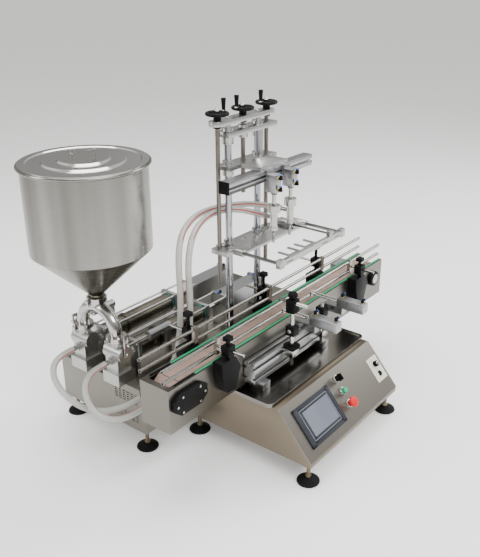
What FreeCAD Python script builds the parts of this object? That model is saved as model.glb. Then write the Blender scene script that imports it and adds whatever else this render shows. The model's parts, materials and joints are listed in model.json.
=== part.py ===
"""Two-head piston liquid filler with its own slat conveyor, as separate pieces.

X runs along the conveyor, Y from the operator's panel to the pump side, Z up from the floor.
Places are written from the middle of the operator's console and the middle of the belt, and each
piece's placement then moves them so that the origin is under the middle of the machine.
"""
import FreeCAD, Part
import math
import os
import re
import Sketcher

os.makedirs("parts", exist_ok=True)
doc = FreeCAD.newDocument("PistonLiquidFiller")
sheet = doc.addObject("Spreadsheet::Sheet", "Sizes")
known = []
nodes = []


def sizes(**values):
    """Write driving dimensions into the sheet, one a row, each with its name as alias."""
    for name, value in values.items():
        known.append(name)
        row = len(known)
        sheet.set(f"A{row}", name)
        sheet.set(f"B{row}", str(value))
        sheet.setAlias(f"B{row}", name)
    sheet.recompute()


def formula(text):
    """The same sum with every known size read from the sheet."""
    return re.sub(r"[a-z]\w*", lambda word: "Sizes." + word[0] if word[0] in known else word[0],
                  str(text))


def amount(text):
    """The value of a sum of named sizes, worked out in a spare cell."""
    if not isinstance(text, str):
        return float(text)
    sheet.set("D1", "=" + text)
    sheet.recompute()
    return float(sheet.get("D1"))


def bind(thing, **properties):
    """Tie properties to sums of named sizes."""
    for name, text in properties.items():
        name = name.replace("__", ".")
        thing.setExpression(name, formula(text))


def box(x, y, z, length, depth, height):
    """A block from its lowest corner."""
    piece = doc.addObject("Part::Box", "Block")
    bind(piece, Length=length, Width=depth, Height=height,
         Placement__Base__x=x, Placement__Base__y=y, Placement__Base__z=z)
    return piece


TURNS = {
    "x": FreeCAD.Rotation(FreeCAD.Vector(0, 1, 0), 90),
    "y": FreeCAD.Rotation(FreeCAD.Vector(1, 0, 0), -90),
    "z": FreeCAD.Rotation(),
}


def rod(axis, x, y, z, radius, length):
    """A cylinder that starts at a point and runs along an axis."""
    piece = doc.addObject("Part::Cylinder", "Rod")
    piece.Placement = FreeCAD.Placement(FreeCAD.Vector(), TURNS[axis])
    bind(piece, Radius=radius, Height=length,
         Placement__Base__x=x, Placement__Base__y=y, Placement__Base__z=z)
    return piece


def cone(axis, x, y, z, radius, end_radius, length):
    """A cone that starts at a point and runs along an axis."""
    piece = doc.addObject("Part::Cone", "Taper")
    piece.Placement = FreeCAD.Placement(FreeCAD.Vector(), TURNS[axis])
    bind(piece, Radius1=radius, Radius2=end_radius, Height=length,
         Placement__Base__x=x, Placement__Base__y=y, Placement__Base__z=z)
    return piece


def ring(axis, x, y, z, radius, tube_radius):
    """A torus about an axis."""
    piece = doc.addObject("Part::Torus", "Ring")
    piece.Placement = FreeCAD.Placement(FreeCAD.Vector(), TURNS[axis])
    bind(piece, Radius1=radius, Radius2=tube_radius,
         Placement__Base__x=x, Placement__Base__y=y, Placement__Base__z=z)
    return piece


def fuse(*pieces):
    """One solid of pieces that touch."""
    if len(pieces) == 1:
        return pieces[0]
    joined = doc.addObject("Part::MultiFuse", "Joined")
    joined.Shapes = list(pieces)
    return joined


def cut(base, *tools):
    """A piece with others taken out of it."""
    result = doc.addObject("Part::Cut", "Cut")
    result.Base = base
    result.Tool = fuse(*tools)
    return result


def outline(body, plane, points):
    """A closed outline on one of a body's own planes, each corner tied to named sizes."""
    sketch = body.newObject("Sketcher::SketchObject", "Outline")
    base = [feature for feature in body.Origin.OriginFeatures if feature.Role == plane + "_Plane"][0]
    sketch.AttachmentSupport = [(base, "")]
    sketch.MapMode = "FlatFace"
    corners = [FreeCAD.Vector(amount(a), amount(b), 0) for a, b in points]
    for index, corner in enumerate(corners):
        sketch.addGeometry(Part.LineSegment(corner, corners[(index + 1) % len(corners)]), False)
    for index in range(len(corners)):
        after = (index + 1) % len(corners)
        sketch.addConstraint(Sketcher.Constraint("Coincident", index, 2, after, 1))
    for index, (across, along) in enumerate(points):
        for way, text, value in (("DistanceX", across, corners[index].x),
                                 ("DistanceY", along, corners[index].y)):
            number = sketch.addConstraint(Sketcher.Constraint(way, -1, 1, index, 1, value))
            sketch.setExpression(f"Constraints[{number}]", formula(text))
    return sketch


def turned(points, x=0, y=0, z=0):
    """A body turned about an upright axis from an outline of radius and height."""
    body = doc.addObject("PartDesign::Body", "Turned")
    sketch = outline(body, "XZ", points)
    turn = body.newObject("PartDesign::Revolution", "Turn")
    turn.Profile = sketch
    turn.ReferenceAxis = (sketch, ["V_Axis"])
    turn.Angle = 360
    bind(body, Placement__Base__x=x, Placement__Base__y=y, Placement__Base__z=z)
    return body


ALONG = {"YZ": "x", "XY": "z", "XZ": "y"}


def plate(plane, points, start, thickness):
    """A flat body cut to an outline: YZ runs along +X, XY along +Z and XZ along -Y."""
    body = doc.addObject("PartDesign::Body", "Plate")
    pad = body.newObject("PartDesign::Pad", "Pad")
    pad.Profile = outline(body, plane, points)
    bind(pad, Length=thickness)
    body.setExpression("Placement.Base." + ALONG[plane], formula(start))
    return body


def hose_tube(points, radius):
    """A tube along straight runs joined by arcs as large as the runs allow."""
    route = [FreeCAD.Vector(*point) for point in points]
    edges = []
    radii = []
    last = route[0]
    for before, corner, after in zip(route, route[1:], route[2:]):
        way_in = (corner - before).normalize()
        way_out = (after - corner).normalize()
        half = way_in.getAngle(way_out) / 2
        reach = 0.45 * min((corner - before).Length, (after - corner).Length)
        radii.append(reach / math.tan(half))
        start = corner - way_in * reach
        end = corner + way_out * reach
        inward = (way_out - way_in).normalize()
        middle = corner + inward * (radii[-1] / math.cos(half) - radii[-1])
        edges.append(Part.LineSegment(last, start).toShape())
        edges.append(Part.Arc(start, middle, end).toShape())
        last = end
    edges.append(Part.LineSegment(last, route[-1]).toShape())
    path = Part.Wire(edges)
    section = Part.Wire(Part.makeCircle(radius, route[0], route[1] - route[0]))
    solid = path.makePipeShell([section], True, True)
    expected = math.pi * radius ** 2 * path.Length
    print("tube: length", round(path.Length), "radii", [round(value) for value in radii],
          "volume over section x length", round(solid.Volume / expected, 4))
    return solid


def shaped(shape):
    """A piece whose shape is worked out in code."""
    piece = doc.addObject("Part::Feature", "Shaped")
    piece.Shape = shape
    return piece


def node(name, *pieces, panel=False):
    """A named piece of the machine; one on the sloped panel is built lying flat and tipped up."""
    group = doc.addObject("Part::Compound", "Piece")
    group.Links = list(pieces)
    group.Label = name
    bind(group, Placement__Base__x=MIDDLE_X, Placement__Base__y=MIDDLE_Y)
    if panel:
        group.Placement.Rotation = FreeCAD.Rotation(FreeCAD.Vector(1, 0, 0), 45)
        bind(group, Placement__Base__y=MIDDLE_Y + " - console_front", Placement__Base__z="slope_low",
             Placement__Rotation__Angle=SLOPE)
    nodes.append(group)


# Overall places of the cabinets, the conveyor and the feet.
sizes(
    cabinet_floor=80, cabinet_top=255, sheet_wall=2,
    console_half=300, console_front=363, console_back=200, slope_low=98, slope_back=226,
    pump_left=495, pump_right=500, pump_front=200, pump_back=640,
    foot_r=40, foot_inset_x=30, foot_front=337, foot_middle=150, foot_pump=230, foot_back=610,
    hopper_x=485, hopper_y=414, hopper_r=204, hopper_rim_r=6,
    rail_left=635, rail_right=700,
    head_left=-485, head_front=329, head_rear=499,
)
MIDDLE_X = "(hopper_x + hopper_r + hopper_rim_r * 2 - 1 - rail_right) / 2"
MIDDLE_Y = "(foot_front - foot_back) / 2"
SLOPE = "atan2(cabinet_top - slope_low; console_front - slope_back)"
PANEL_LENGTH = "sqrt((cabinet_top - slope_low)^2 + (console_front - slope_back)^2)"
HEADS = ["head_front", "head_rear"]

# Levelling feet: a moulded pad, a threaded stem and its lock nut under each cabinet corner.
sizes(foot_rim=7, foot_dome=12, foot_stem_r=7, foot_nut_r=13, foot_nut=11)
feet = []
for side in (-1, 1):
    for place in (("console_half", "-foot_front"), ("console_half", "foot_middle"),
                  ("pump_left", "foot_pump"), ("pump_left", "foot_back")):
        at = (f"{side} * ({place[0]} - foot_inset_x)", place[1])
        pad = fuse(rod("z", *at, 0, "foot_r", "foot_rim"),
                   cone("z", *at, "foot_rim", "foot_r - 2", "foot_nut_r", "foot_dome"))
        stem = fuse(rod("z", *at, "foot_rim + foot_dome", "foot_stem_r",
                        "cabinet_floor - foot_rim - foot_dome"),
                    rod("z", *at, "cabinet_floor - foot_nut", "foot_nut_r", "foot_nut"),
                    rod("z", *at, "foot_rim + foot_dome", "foot_stem_r + 3", "foot_nut"))
        feet += [pad, stem]
node("levelling_feet", *feet)

# Operator's console: a folded stainless cabinet, open at the slope where the panel closes it.
console_shell = plate("YZ", [("-console_front", "cabinet_floor"), ("-console_front", "slope_low"),
                             ("-slope_back", "cabinet_top"), ("console_back", "cabinet_top"),
                             ("console_back", "cabinet_floor")], "-console_half", "2 * console_half")
console_inside = plate("YZ", [("sheet_wall - console_front", "cabinet_floor + sheet_wall"),
                              ("sheet_wall - console_front", "cabinet_top + sheet_wall"),
                              ("-slope_back - sheet_wall", "cabinet_top + sheet_wall"),
                              ("-slope_back - sheet_wall", "cabinet_top - sheet_wall"),
                              ("console_back - sheet_wall", "cabinet_top - sheet_wall"),
                              ("console_back - sheet_wall", "cabinet_floor + sheet_wall")],
                       "sheet_wall - console_half", "2 * (console_half - sheet_wall)")
node("console_cabinet", cut(console_shell, console_inside))

# Sloped control panel, with its openings for the screen, the buttons, the knob and the switch.
sizes(panel_wall=3, panel_gap=1.5, screen_left=-254, screen_low=31, screen_wide=214, screen_tall=146,
      screen_proud=6, screen_deep=32, screen_frame=9,
      button_hole_r=11, stop_x=8, stop_v=72, start_x=12, start_v=122, mode_x=17, mode_v=170,
      plate_left=221, plate_low=55, plate_wide=67, plate_tall=96, plate_thick=2,
      knob_x=256, knob_v=121, knob_hole_r=5, switch_x=254, switch_v=82, switch_r=11, switch_wide=14)
BUTTONS = [("stop_x", "stop_v"), ("start_x", "start_v"), ("mode_x", "mode_v")]


def switch_opening(low, height):
    """The opening that the power switch rocks in."""
    return box("switch_x - switch_wide / 2 - 0.5", "switch_v - switch_r - 0.5", low,
               "switch_wide + 1", "2 * switch_r + 1", height)


openings = [rod("z", x, v, -1, "button_hole_r", "panel_wall + 2") for x, v in BUTTONS]
openings.append(rod("z", "knob_x", "knob_v", -1, "knob_hole_r", "panel_wall + 2"))
openings.append(switch_opening(-1, "panel_wall + 2"))
openings.append(box("screen_left + screen_frame", "screen_low + screen_frame", -1,
                    "screen_wide - 2 * screen_frame", "screen_tall - 2 * screen_frame",
                    "panel_wall + 2"))
panel_sheet = box("-console_half", 0, 0, "2 * console_half", PANEL_LENGTH, "panel_wall")
node("control_panel", cut(panel_sheet, *openings), panel=True)

# Touch screen: a black bezel with a recessed glass and its case behind the panel.
sizes(glass_left=-216, glass_low=59, glass_wide=166, glass_tall=92, glass_deep=1.5)
bezel = fuse(box("screen_left", "screen_low", "panel_wall", "screen_wide", "screen_tall", "screen_proud"),
             box("screen_left + screen_frame + 1", "screen_low + screen_frame + 1",
                 "panel_wall - screen_deep", "screen_wide - 2 * screen_frame - 2",
                 "screen_tall - 2 * screen_frame - 2", "screen_deep"))
glass_at = ("glass_left", "glass_low", "panel_wall + screen_proud - glass_deep",
            "glass_wide", "glass_tall", "glass_deep")
node("touch_screen", cut(bezel, box(*glass_at)), box(*glass_at), panel=True)

# Panel trim: a metal collar under each button, and the plate behind the speed knob and switch.
sizes(collar_r=15, collar_tall=13, collar_floor=2, barrel_r=10.9, barrel_bore=8.3, barrel_deep=25)
trim = []
for x, v in BUTTONS:
    solid = fuse(rod("z", x, v, "panel_wall", "collar_r", "collar_tall"),
                 rod("z", x, v, "panel_wall - barrel_deep", "barrel_r", "barrel_deep"))
    trim.append(cut(solid,
                    rod("z", x, v, "panel_wall + collar_floor", "button_hole_r + 0.5", "collar_tall"),
                    rod("z", x, v, "panel_wall - barrel_deep - 1", "barrel_bore",
                        "barrel_deep + collar_floor + 2")))
label_plate = box("plate_left", "plate_low", "panel_wall", "plate_wide", "plate_tall", "plate_thick")
trim.append(cut(label_plate, rod("z", "knob_x", "knob_v", 0, "knob_hole_r", 10), switch_opening(0, 10)))
node("panel_trim", *trim, panel=True)

# Emergency stop, start button and mode selector, each on a stem in its collar.
sizes(button_clear=0.3, button_skirt=6, stop_cap_r=20, stop_skirt=18, stop_cap=14,
      start_skirt=12, start_cap=8, mode_cap=7, mode_bar=12, mode_bar_wide=8)
SEAT = "panel_wall + collar_floor + button_skirt"
STEM_LOW = "panel_wall - barrel_deep + 6"


def button(x, v, skirt):
    """A button's stem and the skirt that slides in its collar."""
    return [rod("z", x, v, STEM_LOW, "barrel_bore - button_clear", SEAT + " - (" + STEM_LOW + ")"),
            rod("z", x, v, SEAT, "button_hole_r", skirt)]


stop_top = SEAT + " + stop_skirt"
node("estop_button", fuse(*button("stop_x", "stop_v", "stop_skirt"),
                          cone("z", "stop_x", "stop_v", stop_top, "stop_cap_r - 3", "stop_cap_r", 5),
                          cone("z", "stop_x", "stop_v", stop_top + " + 5", "stop_cap_r",
                               "stop_cap_r - 6", "stop_cap - 5")), panel=True)
start_top = SEAT + " + start_skirt"
node("start_button", fuse(*button("start_x", "start_v", "start_skirt"),
                          cone("z", "start_x", "start_v", start_top, "button_hole_r",
                               "button_hole_r - 2", "start_cap")), panel=True)
mode_top = SEAT + " + start_skirt"
node("mode_selector", fuse(*button("mode_x", "mode_v", "start_skirt"),
                           rod("z", "mode_x", "mode_v", mode_top, "collar_r - 1", "mode_cap"),
                           box("mode_x - mode_bar_wide / 2", "mode_v - collar_r + 2",
                               mode_top + " + mode_cap", "mode_bar_wide", "2 * collar_r - 4",
                               "mode_bar")), panel=True)

# Conveyor speed knob and power switch.
sizes(knob_r=12, knob_tall=15, knob_stand=1, knob_stem=18)
knob_low = "panel_wall + plate_thick + knob_stand"
node("speed_knob", fuse(cone("z", "knob_x", "knob_v", knob_low, "knob_r", "knob_r - 2", "knob_tall"),
                        rod("z", "knob_x", "knob_v", knob_low + " - knob_stem",
                            "knob_hole_r - button_clear", "knob_stem")), panel=True)
node("power_switch", rod("x", "switch_x - switch_wide / 2", "switch_v", "panel_wall - 2", "switch_r",
                         "switch_wide"), panel=True)

# Drip tray on the console: a rounded pan with its floor raised off the cabinet.
sizes(tray_half=310, tray_front=206, tray_back=195, tray_floor=262, tray_rim=270, tray_wall=3)


def tray_block(inset, low, height):
    """A block the size of the tray, drawn in from its edge."""
    return box(f"{inset} - tray_half", f"{inset} - tray_front", low,
               f"2 * (tray_half - {inset})", f"tray_front + tray_back - 2 * {inset}", height)


tray_outer = tray_block("0", "cabinet_top", "tray_rim - cabinet_top")
node("console_tray", cut(tray_outer, tray_block("tray_wall", "tray_floor", 20),
                         tray_block("tray_wall", "cabinet_top - 1",
                                    "tray_floor - tray_wall - cabinet_top + 1")))

# Pump cabinet: a closed stainless box with ventilation slots in its left end.
sizes(vent_wide=14, vent_tall=4, vent_pitch_y=20, vent_pitch_z=9, vent_upper=186, vent_lower=112,
      vent_first=236)
pump_solid = box("-pump_left", "pump_front", "cabinet_floor", "pump_left + pump_right",
                 "pump_back - pump_front", "cabinet_top - cabinet_floor")
pump_inside = box("sheet_wall - pump_left", "pump_front + sheet_wall", "cabinet_floor + sheet_wall",
                  "pump_left + pump_right - 2 * sheet_wall", "pump_back - pump_front - 2 * sheet_wall",
                  "cabinet_top - cabinet_floor - 2 * sheet_wall")
vents = []
for low, rows in (("vent_upper", 5), ("vent_lower", 4)):
    for row in range(rows):
        for column in range(6):
            vents.append(box("-pump_left - 1", f"vent_first + {column} * vent_pitch_y",
                             f"{low} + {row} * vent_pitch_z", "sheet_wall + 2", "vent_wide", "vent_tall"))
node("pump_cabinet", cut(pump_solid, pump_inside, *vents))

# Conveyor frame: two folded side plates, end plates, spacers between the runs and three supports.
sizes(conveyor_half=61, conveyor_low=275, conveyor_top=430, conveyor_end=698, side_wall=2, lip=17,
      shaft_z=369, idler_x=-550, drive_x=617, shaft_r=12, shaft_hole_r=14, spacer_r=8,
      support_wide=60, left_cover=32, end_step=28)
frame_parts = []
for side in (-1, 1):
    edge = f"{side} * conveyor_half"
    inner = "-conveyor_half" if side < 0 else "conveyor_half - side_wall"
    lip_y = "-conveyor_half" if side < 0 else "conveyor_half - lip"
    frame_parts.append(box("-rail_left", inner, "conveyor_low", "rail_left + conveyor_end", "side_wall",
                           "conveyor_top - conveyor_low"))
    for z in ("conveyor_low", "conveyor_top - side_wall"):
        frame_parts.append(box("-rail_left", lip_y, z, "rail_left + conveyor_end", "lip", "side_wall"))
for x, top in (("-rail_left", "conveyor_top"), ("conveyor_end - side_wall", "conveyor_top - end_step")):
    frame_parts.append(box(x, "-conveyor_half", "conveyor_low", "side_wall", "2 * conveyor_half",
                           f"{top} - conveyor_low"))
frame_parts.append(box("-rail_left", "-conveyor_half", "conveyor_top - side_wall", "left_cover - 10",
                       "2 * conveyor_half", "side_wall"))
for x in (-400, -130, 130, 400):
    frame_parts.append(rod("y", x, "-conveyor_half", "shaft_z", "spacer_r", "2 * conveyor_half"))
for x in (-240, 0, 240):
    frame_parts.append(box(f"{x} - support_wide / 2", "10 - conveyor_half", "tray_floor", "support_wide",
                           "2 * conveyor_half - 20", "conveyor_low - tray_floor"))
shaft_holes = [rod("y", x, "-conveyor_half - 1", "shaft_z", "shaft_hole_r", "2 * conveyor_half + 2")
               for x in ("idler_x", "drive_x")]
node("conveyor_frame", cut(fuse(*frame_parts), *shaft_holes))

# Slat chain: flat plastic slats round both sprockets, a hinge gap apart.
sizes(slat_wide=82.5, slat_thick=4, slat_count=71, slat_gap=0.9, slat_lift=59)
reach = amount("drive_x - idler_x")
lift = amount("slat_lift")
pitch = (2 * reach + 2 * math.pi * lift) / amount("slat_count")
slats = []
for index in range(int(amount("slat_count"))):
    along = index * pitch
    slat = Part.makeBox(pitch - amount("slat_gap"), amount("slat_wide"), amount("slat_thick"))
    slat.translate(FreeCAD.Vector(-slat.BoundBox.XMax / 2, -amount("slat_wide") / 2,
                                  lift - amount("slat_thick") / 2))
    angle = 0
    centre = amount("idler_x") + along
    if along > reach:
        angle = min((along - reach) / lift, math.pi)
        centre = amount("drive_x")
    if along > reach + math.pi * lift:
        centre = amount("drive_x") - (along - reach - math.pi * lift)
    if along > 2 * reach + math.pi * lift:
        angle = math.pi + (along - 2 * reach - math.pi * lift) / lift
        centre = amount("idler_x")
    slat.rotate(FreeCAD.Vector(), FreeCAD.Vector(0, 1, 0), math.degrees(angle))
    slat.translate(FreeCAD.Vector(centre, 0, amount("shaft_z")))
    slats.append(slat)
node("slat_chain", shaped(Part.makeCompound(slats)))

# Edge strips on the conveyor's lips: green wear strips, and a short black strip at the left end.
sizes(strip_at=47, strip_wide=7, strip_tall=3, strip_left=600, strip_end=690)
node("edge_strips", *[box("-strip_left", f"{y} - strip_wide / 2", "conveyor_top",
                          "strip_left + strip_end", "strip_wide", "strip_tall")
                      for y in ("-strip_at - 4", "strip_at + 4")])

# Drive and idler: a shaft with a chain sprocket disc on each, turning in the bearing covers.
sizes(sprocket_r=53, sprocket_wide=36, hub_r=24, hub_wide=60, shaft_out=73, gearbox_bore=118)
for name, x, far in (("drive_sprocket", "drive_x", "gearbox_bore"), ("idler_sprocket", "idler_x",
                                                                      "shaft_out")):
    node(name, fuse(rod("y", x, "-shaft_out", "shaft_z", "shaft_r", f"shaft_out + {far}"),
                    rod("y", x, "-sprocket_wide / 2", "shaft_z", "sprocket_r", "sprocket_wide"),
                    rod("y", x, "-hub_wide / 2", "shaft_z", "hub_r", "hub_wide")))

# Bearing covers: long black six-sided covers at the left end, round flanged ones at the right.
sizes(bearing_clear=0.05, cover_thick=16, cover_half=75, cover_tall=38, cover_flat=46, round_cover_r=32)
COVER_BORE = "shaft_r + bearing_clear"
covers = []
for side in (-1, 1):
    start = "-conveyor_half" if side < 0 else "conveyor_half + cover_thick"
    low = "-conveyor_half - cover_thick" if side < 0 else "conveyor_half"
    long_cover = plate("XZ", [("idler_x - cover_half", "shaft_z - 14"),
                              ("idler_x - cover_flat", "shaft_z - cover_tall"),
                              ("idler_x + cover_flat", "shaft_z - cover_tall"),
                              ("idler_x + cover_half", "shaft_z - 14"),
                              ("idler_x + cover_half", "shaft_z + 20"),
                              ("idler_x + cover_flat", "shaft_z + cover_tall"),
                              ("idler_x - cover_flat", "shaft_z + cover_tall"),
                              ("idler_x - cover_half", "shaft_z + 20")], start, "cover_thick")
    bore_low = "-shaft_out - 0.3" if side < 0 else "conveyor_half - 1"
    covers.append(cut(long_cover, rod("y", "idler_x", bore_low, "shaft_z", COVER_BORE,
                                      "shaft_out + 0.3 - conveyor_half + 1")))
covers.append(cut(rod("y", "drive_x", "-conveyor_half - cover_thick", "shaft_z", "round_cover_r",
                      "cover_thick"),
                  rod("y", "drive_x", "-shaft_out - 0.3", "shaft_z", COVER_BORE, "shaft_out")))
node("bearing_covers", *covers)

# Gearmotor behind the right end: a gearbox on the drive shaft with the motor lying along the frame.
sizes(gearbox_half=42, gearbox_deep=62, motor_r=36, motor_long=112)
gearbox = fuse(box("drive_x - gearbox_half", "conveyor_half", "shaft_z - gearbox_half - 8",
                   "2 * gearbox_half", "gearbox_deep", "2 * gearbox_half"),
               rod("x", "drive_x - gearbox_half - motor_long", "conveyor_half + gearbox_deep / 2 + 8",
                   "shaft_z - 14", "motor_r", "motor_long"))
node("belt_gearmotor", cut(gearbox, rod("y", "drive_x", "conveyor_half - 1", "shaft_z",
                                        "shaft_r + bearing_clear", "gearbox_bore + 1.3 - conveyor_half")))

# Guide rails: two thin tubes on each side, joined by clamp plates on sliding cross rods.
sizes(rail_r=6, rail_bore=4.5, front_rail_y=-38, front_rail_z=450, rear_rail_y=57, rear_rail_z=460,
      rail_step=40, rail_fit=0.05, cross_r=5, cross_long=112, holder_thick=14, holder_half=9,
      guide_clear=0.3)
FRONT_GUIDES = [-380, 460]
REAR_GUIDES = [-381, 36, 395]


def guide_set(y, z, places, side):
    """Two tubes, and the holders and cross rods that carry them."""
    middle = f"{z} + rail_step / 2"
    heights = [z, f"{z} + rail_step"]
    sockets = [rod("x", "-rail_left - 1", y, height, "rail_r + rail_fit", "rail_left + rail_right + 2")
               for height in heights]
    pieces = []
    for x in places:
        rod_low = f"{y} - cross_long" if side < 0 else y
        holder = box(f"{x} - holder_half", f"{y} - holder_thick / 2", f"{z} - rail_r - 3",
                     "2 * holder_half", "holder_thick", "rail_step + 2 * rail_r + 6")
        cross = rod("y", x, rod_low, middle, "cross_r", "cross_long")
        pieces.append(cut(fuse(holder, cross), *sockets))
    for height in heights:
        tube = rod("x", "-rail_left", y, height, "rail_r", "rail_left + rail_right")
        bore = rod("x", "-rail_left - 1", y, height, "rail_bore", "rail_left + rail_right + 2")
        pieces.append(cut(tube, bore))
    return pieces


node("guide_rails_front", *guide_set("front_rail_y", "front_rail_z", FRONT_GUIDES, -1))
node("guide_rails_rear", *guide_set("rear_rail_y", "rear_rail_z", REAR_GUIDES, 1))

# Guide brackets: black moulded arms bolted to the conveyor, each with a clamp head and star knob.
sizes(arm_wide=100, arm_foot=50, arm_deep=40, arm_low=325, head_wide=34, head_deep=32, head_tall=36,
      neck_wide=22, knob_star_r=17, knob_star_tall=14, front_knob_z=505, rear_knob_z=540, front_arm_top=441,
      rear_arm_top=440)


def guide_bracket(x, side, rod_z, arm_top, knob_z):
    """One moulded arm, its bored head and the knob above it."""
    start = "-conveyor_half" if side < 0 else "conveyor_half + arm_deep"
    arm = plate("XZ", [(f"{x} - arm_wide / 2", arm_top), (f"{x} - arm_wide / 2 + 4", "arm_low + 65"),
                       (f"{x} - arm_foot / 2", "arm_low"), (f"{x} + arm_foot / 2 - 8", "arm_low - 4"),
                       (f"{x} + arm_foot / 2", "arm_low + 14"), (f"{x} + arm_wide / 2 - 4", "arm_low + 75"),
                       (f"{x} + arm_wide / 2 - 30", arm_top)], start, "arm_deep")
    low = "-conveyor_half - arm_deep" if side < 0 else "conveyor_half + arm_deep - head_deep"
    head = box(f"{x} - head_wide / 2", low, f"{rod_z} - head_tall / 2", "head_wide", "head_deep", "head_tall")
    neck = box(f"{x} - neck_wide / 2", low, f"{arm_top} - 2", "neck_wide", "head_deep / 2",
               f"{rod_z} - {arm_top}")
    stem = rod("z", x, f"{low} + head_deep / 2", rod_z, 6, f"{knob_z} - ({rod_z})")
    star = [rod("z", x, f"{low} + head_deep / 2", knob_z, "knob_star_r - 4", "knob_star_tall")]
    for lobe in range(4):
        turn = math.radians(45 + 90 * lobe)
        star.append(rod("z", f"{x} + (knob_star_r - 6) * {math.cos(turn):.4f}",
                        f"{low} + head_deep / 2 + (knob_star_r - 6) * {math.sin(turn):.4f}",
                        knob_z, 6, "knob_star_tall"))
    bore = rod("y", x, f"{low} - 1", rod_z, "cross_r + guide_clear", "head_deep + 2")
    return cut(fuse(arm, head, neck, stem, *star), bore)


brackets = [guide_bracket(x, -1, "front_rail_z + rail_step / 2", "front_arm_top", "front_knob_z")
            for x in FRONT_GUIDES]
brackets += [guide_bracket(x, 1, "rear_rail_z + rail_step / 2", "rear_arm_top", "rear_knob_z")
             for x in REAR_GUIDES]
node("guide_brackets", *brackets)

# Slotted aluminium beam in front of the conveyor, on two cross bars that stand on the tray.
sizes(beam_left=270, beam_right=200, beam_front=108, beam_back=63, beam_low=290, beam_top=370,
      slot_half=4, slot_deep=10, foot_bar_wide=40)
beam = box("-beam_left", "-beam_front", "beam_low", "beam_left + beam_right", "beam_front - beam_back",
           "beam_top - beam_low")
BEAM_RUN = ("-beam_left - 1", "beam_left + beam_right + 2")
beam_slots = []
for z in ("beam_low + 20", "beam_top - 20"):
    beam_slots.append(box(BEAM_RUN[0], "-beam_front - 1", f"{z} - slot_half", BEAM_RUN[1], "slot_deep + 1",
                          "2 * slot_half"))
    beam_slots.append(box(BEAM_RUN[0], "-beam_back - slot_deep", f"{z} - slot_half", BEAM_RUN[1],
                          "slot_deep + 1", "2 * slot_half"))
beam_slots.append(box(BEAM_RUN[0], "-(beam_front + beam_back) / 2 - slot_half", "beam_top - slot_deep",
                      BEAM_RUN[1], "2 * slot_half", "slot_deep + 1"))
bars = [box(f"{x} - foot_bar_wide / 2", "-beam_front - 20", "tray_floor", "foot_bar_wide",
            "beam_front + 20 - conveyor_half + 6", "beam_low - tray_floor") for x in (-226, 150)]
bars_clear = box(-300, "-conveyor_half - 2", "tray_floor - 1", 600, 20, "beam_low - tray_floor + 2")
node("beam_extrusion", cut(beam, *beam_slots), *[cut(bar, bars_clear) for bar in bars])

# Bottle-stop stand: two posts in flanged sockets on the beam, a cross rod and the top clamp.
sizes(post_left=-90, post_right=102, post_y=-135, post_r=8, post_low=300, post_top=508, thin_post_r=6,
      socket_low=338, socket_tall=26, socket_half=19, cross_bar_z=437, cross_bar_r=7,
      clamp_half=17, clamp_low=508, clamp_tall=48, clamp_rod_r=6)
stand = []
for x, radius, top in (("post_left", "post_r", "post_top"),
                       ("post_right", "thin_post_r", "cross_bar_z + 30")):
    stand.append(fuse(rod("z", x, "post_y", "post_low", radius, f"{top} - post_low"),
                      box(f"{x} - socket_half", "post_y - socket_half", "socket_low", "2 * socket_half",
                          "socket_half - post_y - beam_front", "socket_tall"),
                      box(f"{x} - clamp_half", "post_y - clamp_half", "cross_bar_z - clamp_half",
                          "2 * clamp_half", "2 * clamp_half", "2 * clamp_half")))
stand.append(rod("x", "post_left - 20", "post_y", "cross_bar_z", "cross_bar_r",
                 "post_right - post_left + 60"))
top_clamp = fuse(box("post_left - clamp_half", "post_y - clamp_half", "clamp_low", "2 * clamp_half",
                     "2 * clamp_half", "clamp_tall"),
                 rod("y", "post_left", "post_y - 62", "clamp_low + clamp_tall - 14", "clamp_rod_r", 120))
node("stop_stand", fuse(*stand, top_clamp))

# Bottle-stop cylinders: compact air cylinders on saddles, with a blind bore for each pair of rods.
sizes(stop_left=-31, stop_right=150, stop_front=-287, stop_body=110, stop_half=18, stop_z=470,
      stop_rod_r=3, stop_rod_gap=9, stop_bore_deep=70, stop_clear=0.3, saddle_wide=30)
stops = []
for x in ("stop_left", "stop_right"):
    body = box(f"{x} - stop_half", "stop_front", "stop_z - stop_half", "2 * stop_half", "stop_body",
               "2 * stop_half")
    saddle = box(f"{x} - saddle_wide / 2", "post_y - 65", "cross_bar_z - 12", "saddle_wide", 82,
                 "stop_z - stop_half - cross_bar_z + 12")
    cuts = [rod("y", f"{x} {way} stop_rod_gap", "stop_front + stop_body - stop_bore_deep", "stop_z",
                "stop_rod_r + stop_clear", "stop_bore_deep + 1") for way in "+-"]
    cuts.append(rod("x", f"{x} - 30", "post_y", "cross_bar_z", "cross_bar_r", 60))
    stops.append(cut(fuse(body, saddle), *cuts))
node("stop_cylinders", *stops)
sizes(stop_rod_long=185, stop_finger_half=14)
for name, x in (("stop_rod_left", "stop_left"), ("stop_rod_right", "stop_right")):
    low = "stop_front + stop_body - stop_bore_deep + 5"
    rods = [rod("y", f"{x} {way} stop_rod_gap", low, "stop_z", "stop_rod_r", "stop_rod_long") for way in "+-"]
    tip = box(f"{x} - stop_finger_half", f"{low} + stop_rod_long - 8", "stop_z - 8", "2 * stop_finger_half",
              8, 16)
    node(name, fuse(*rods, tip))

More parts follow.
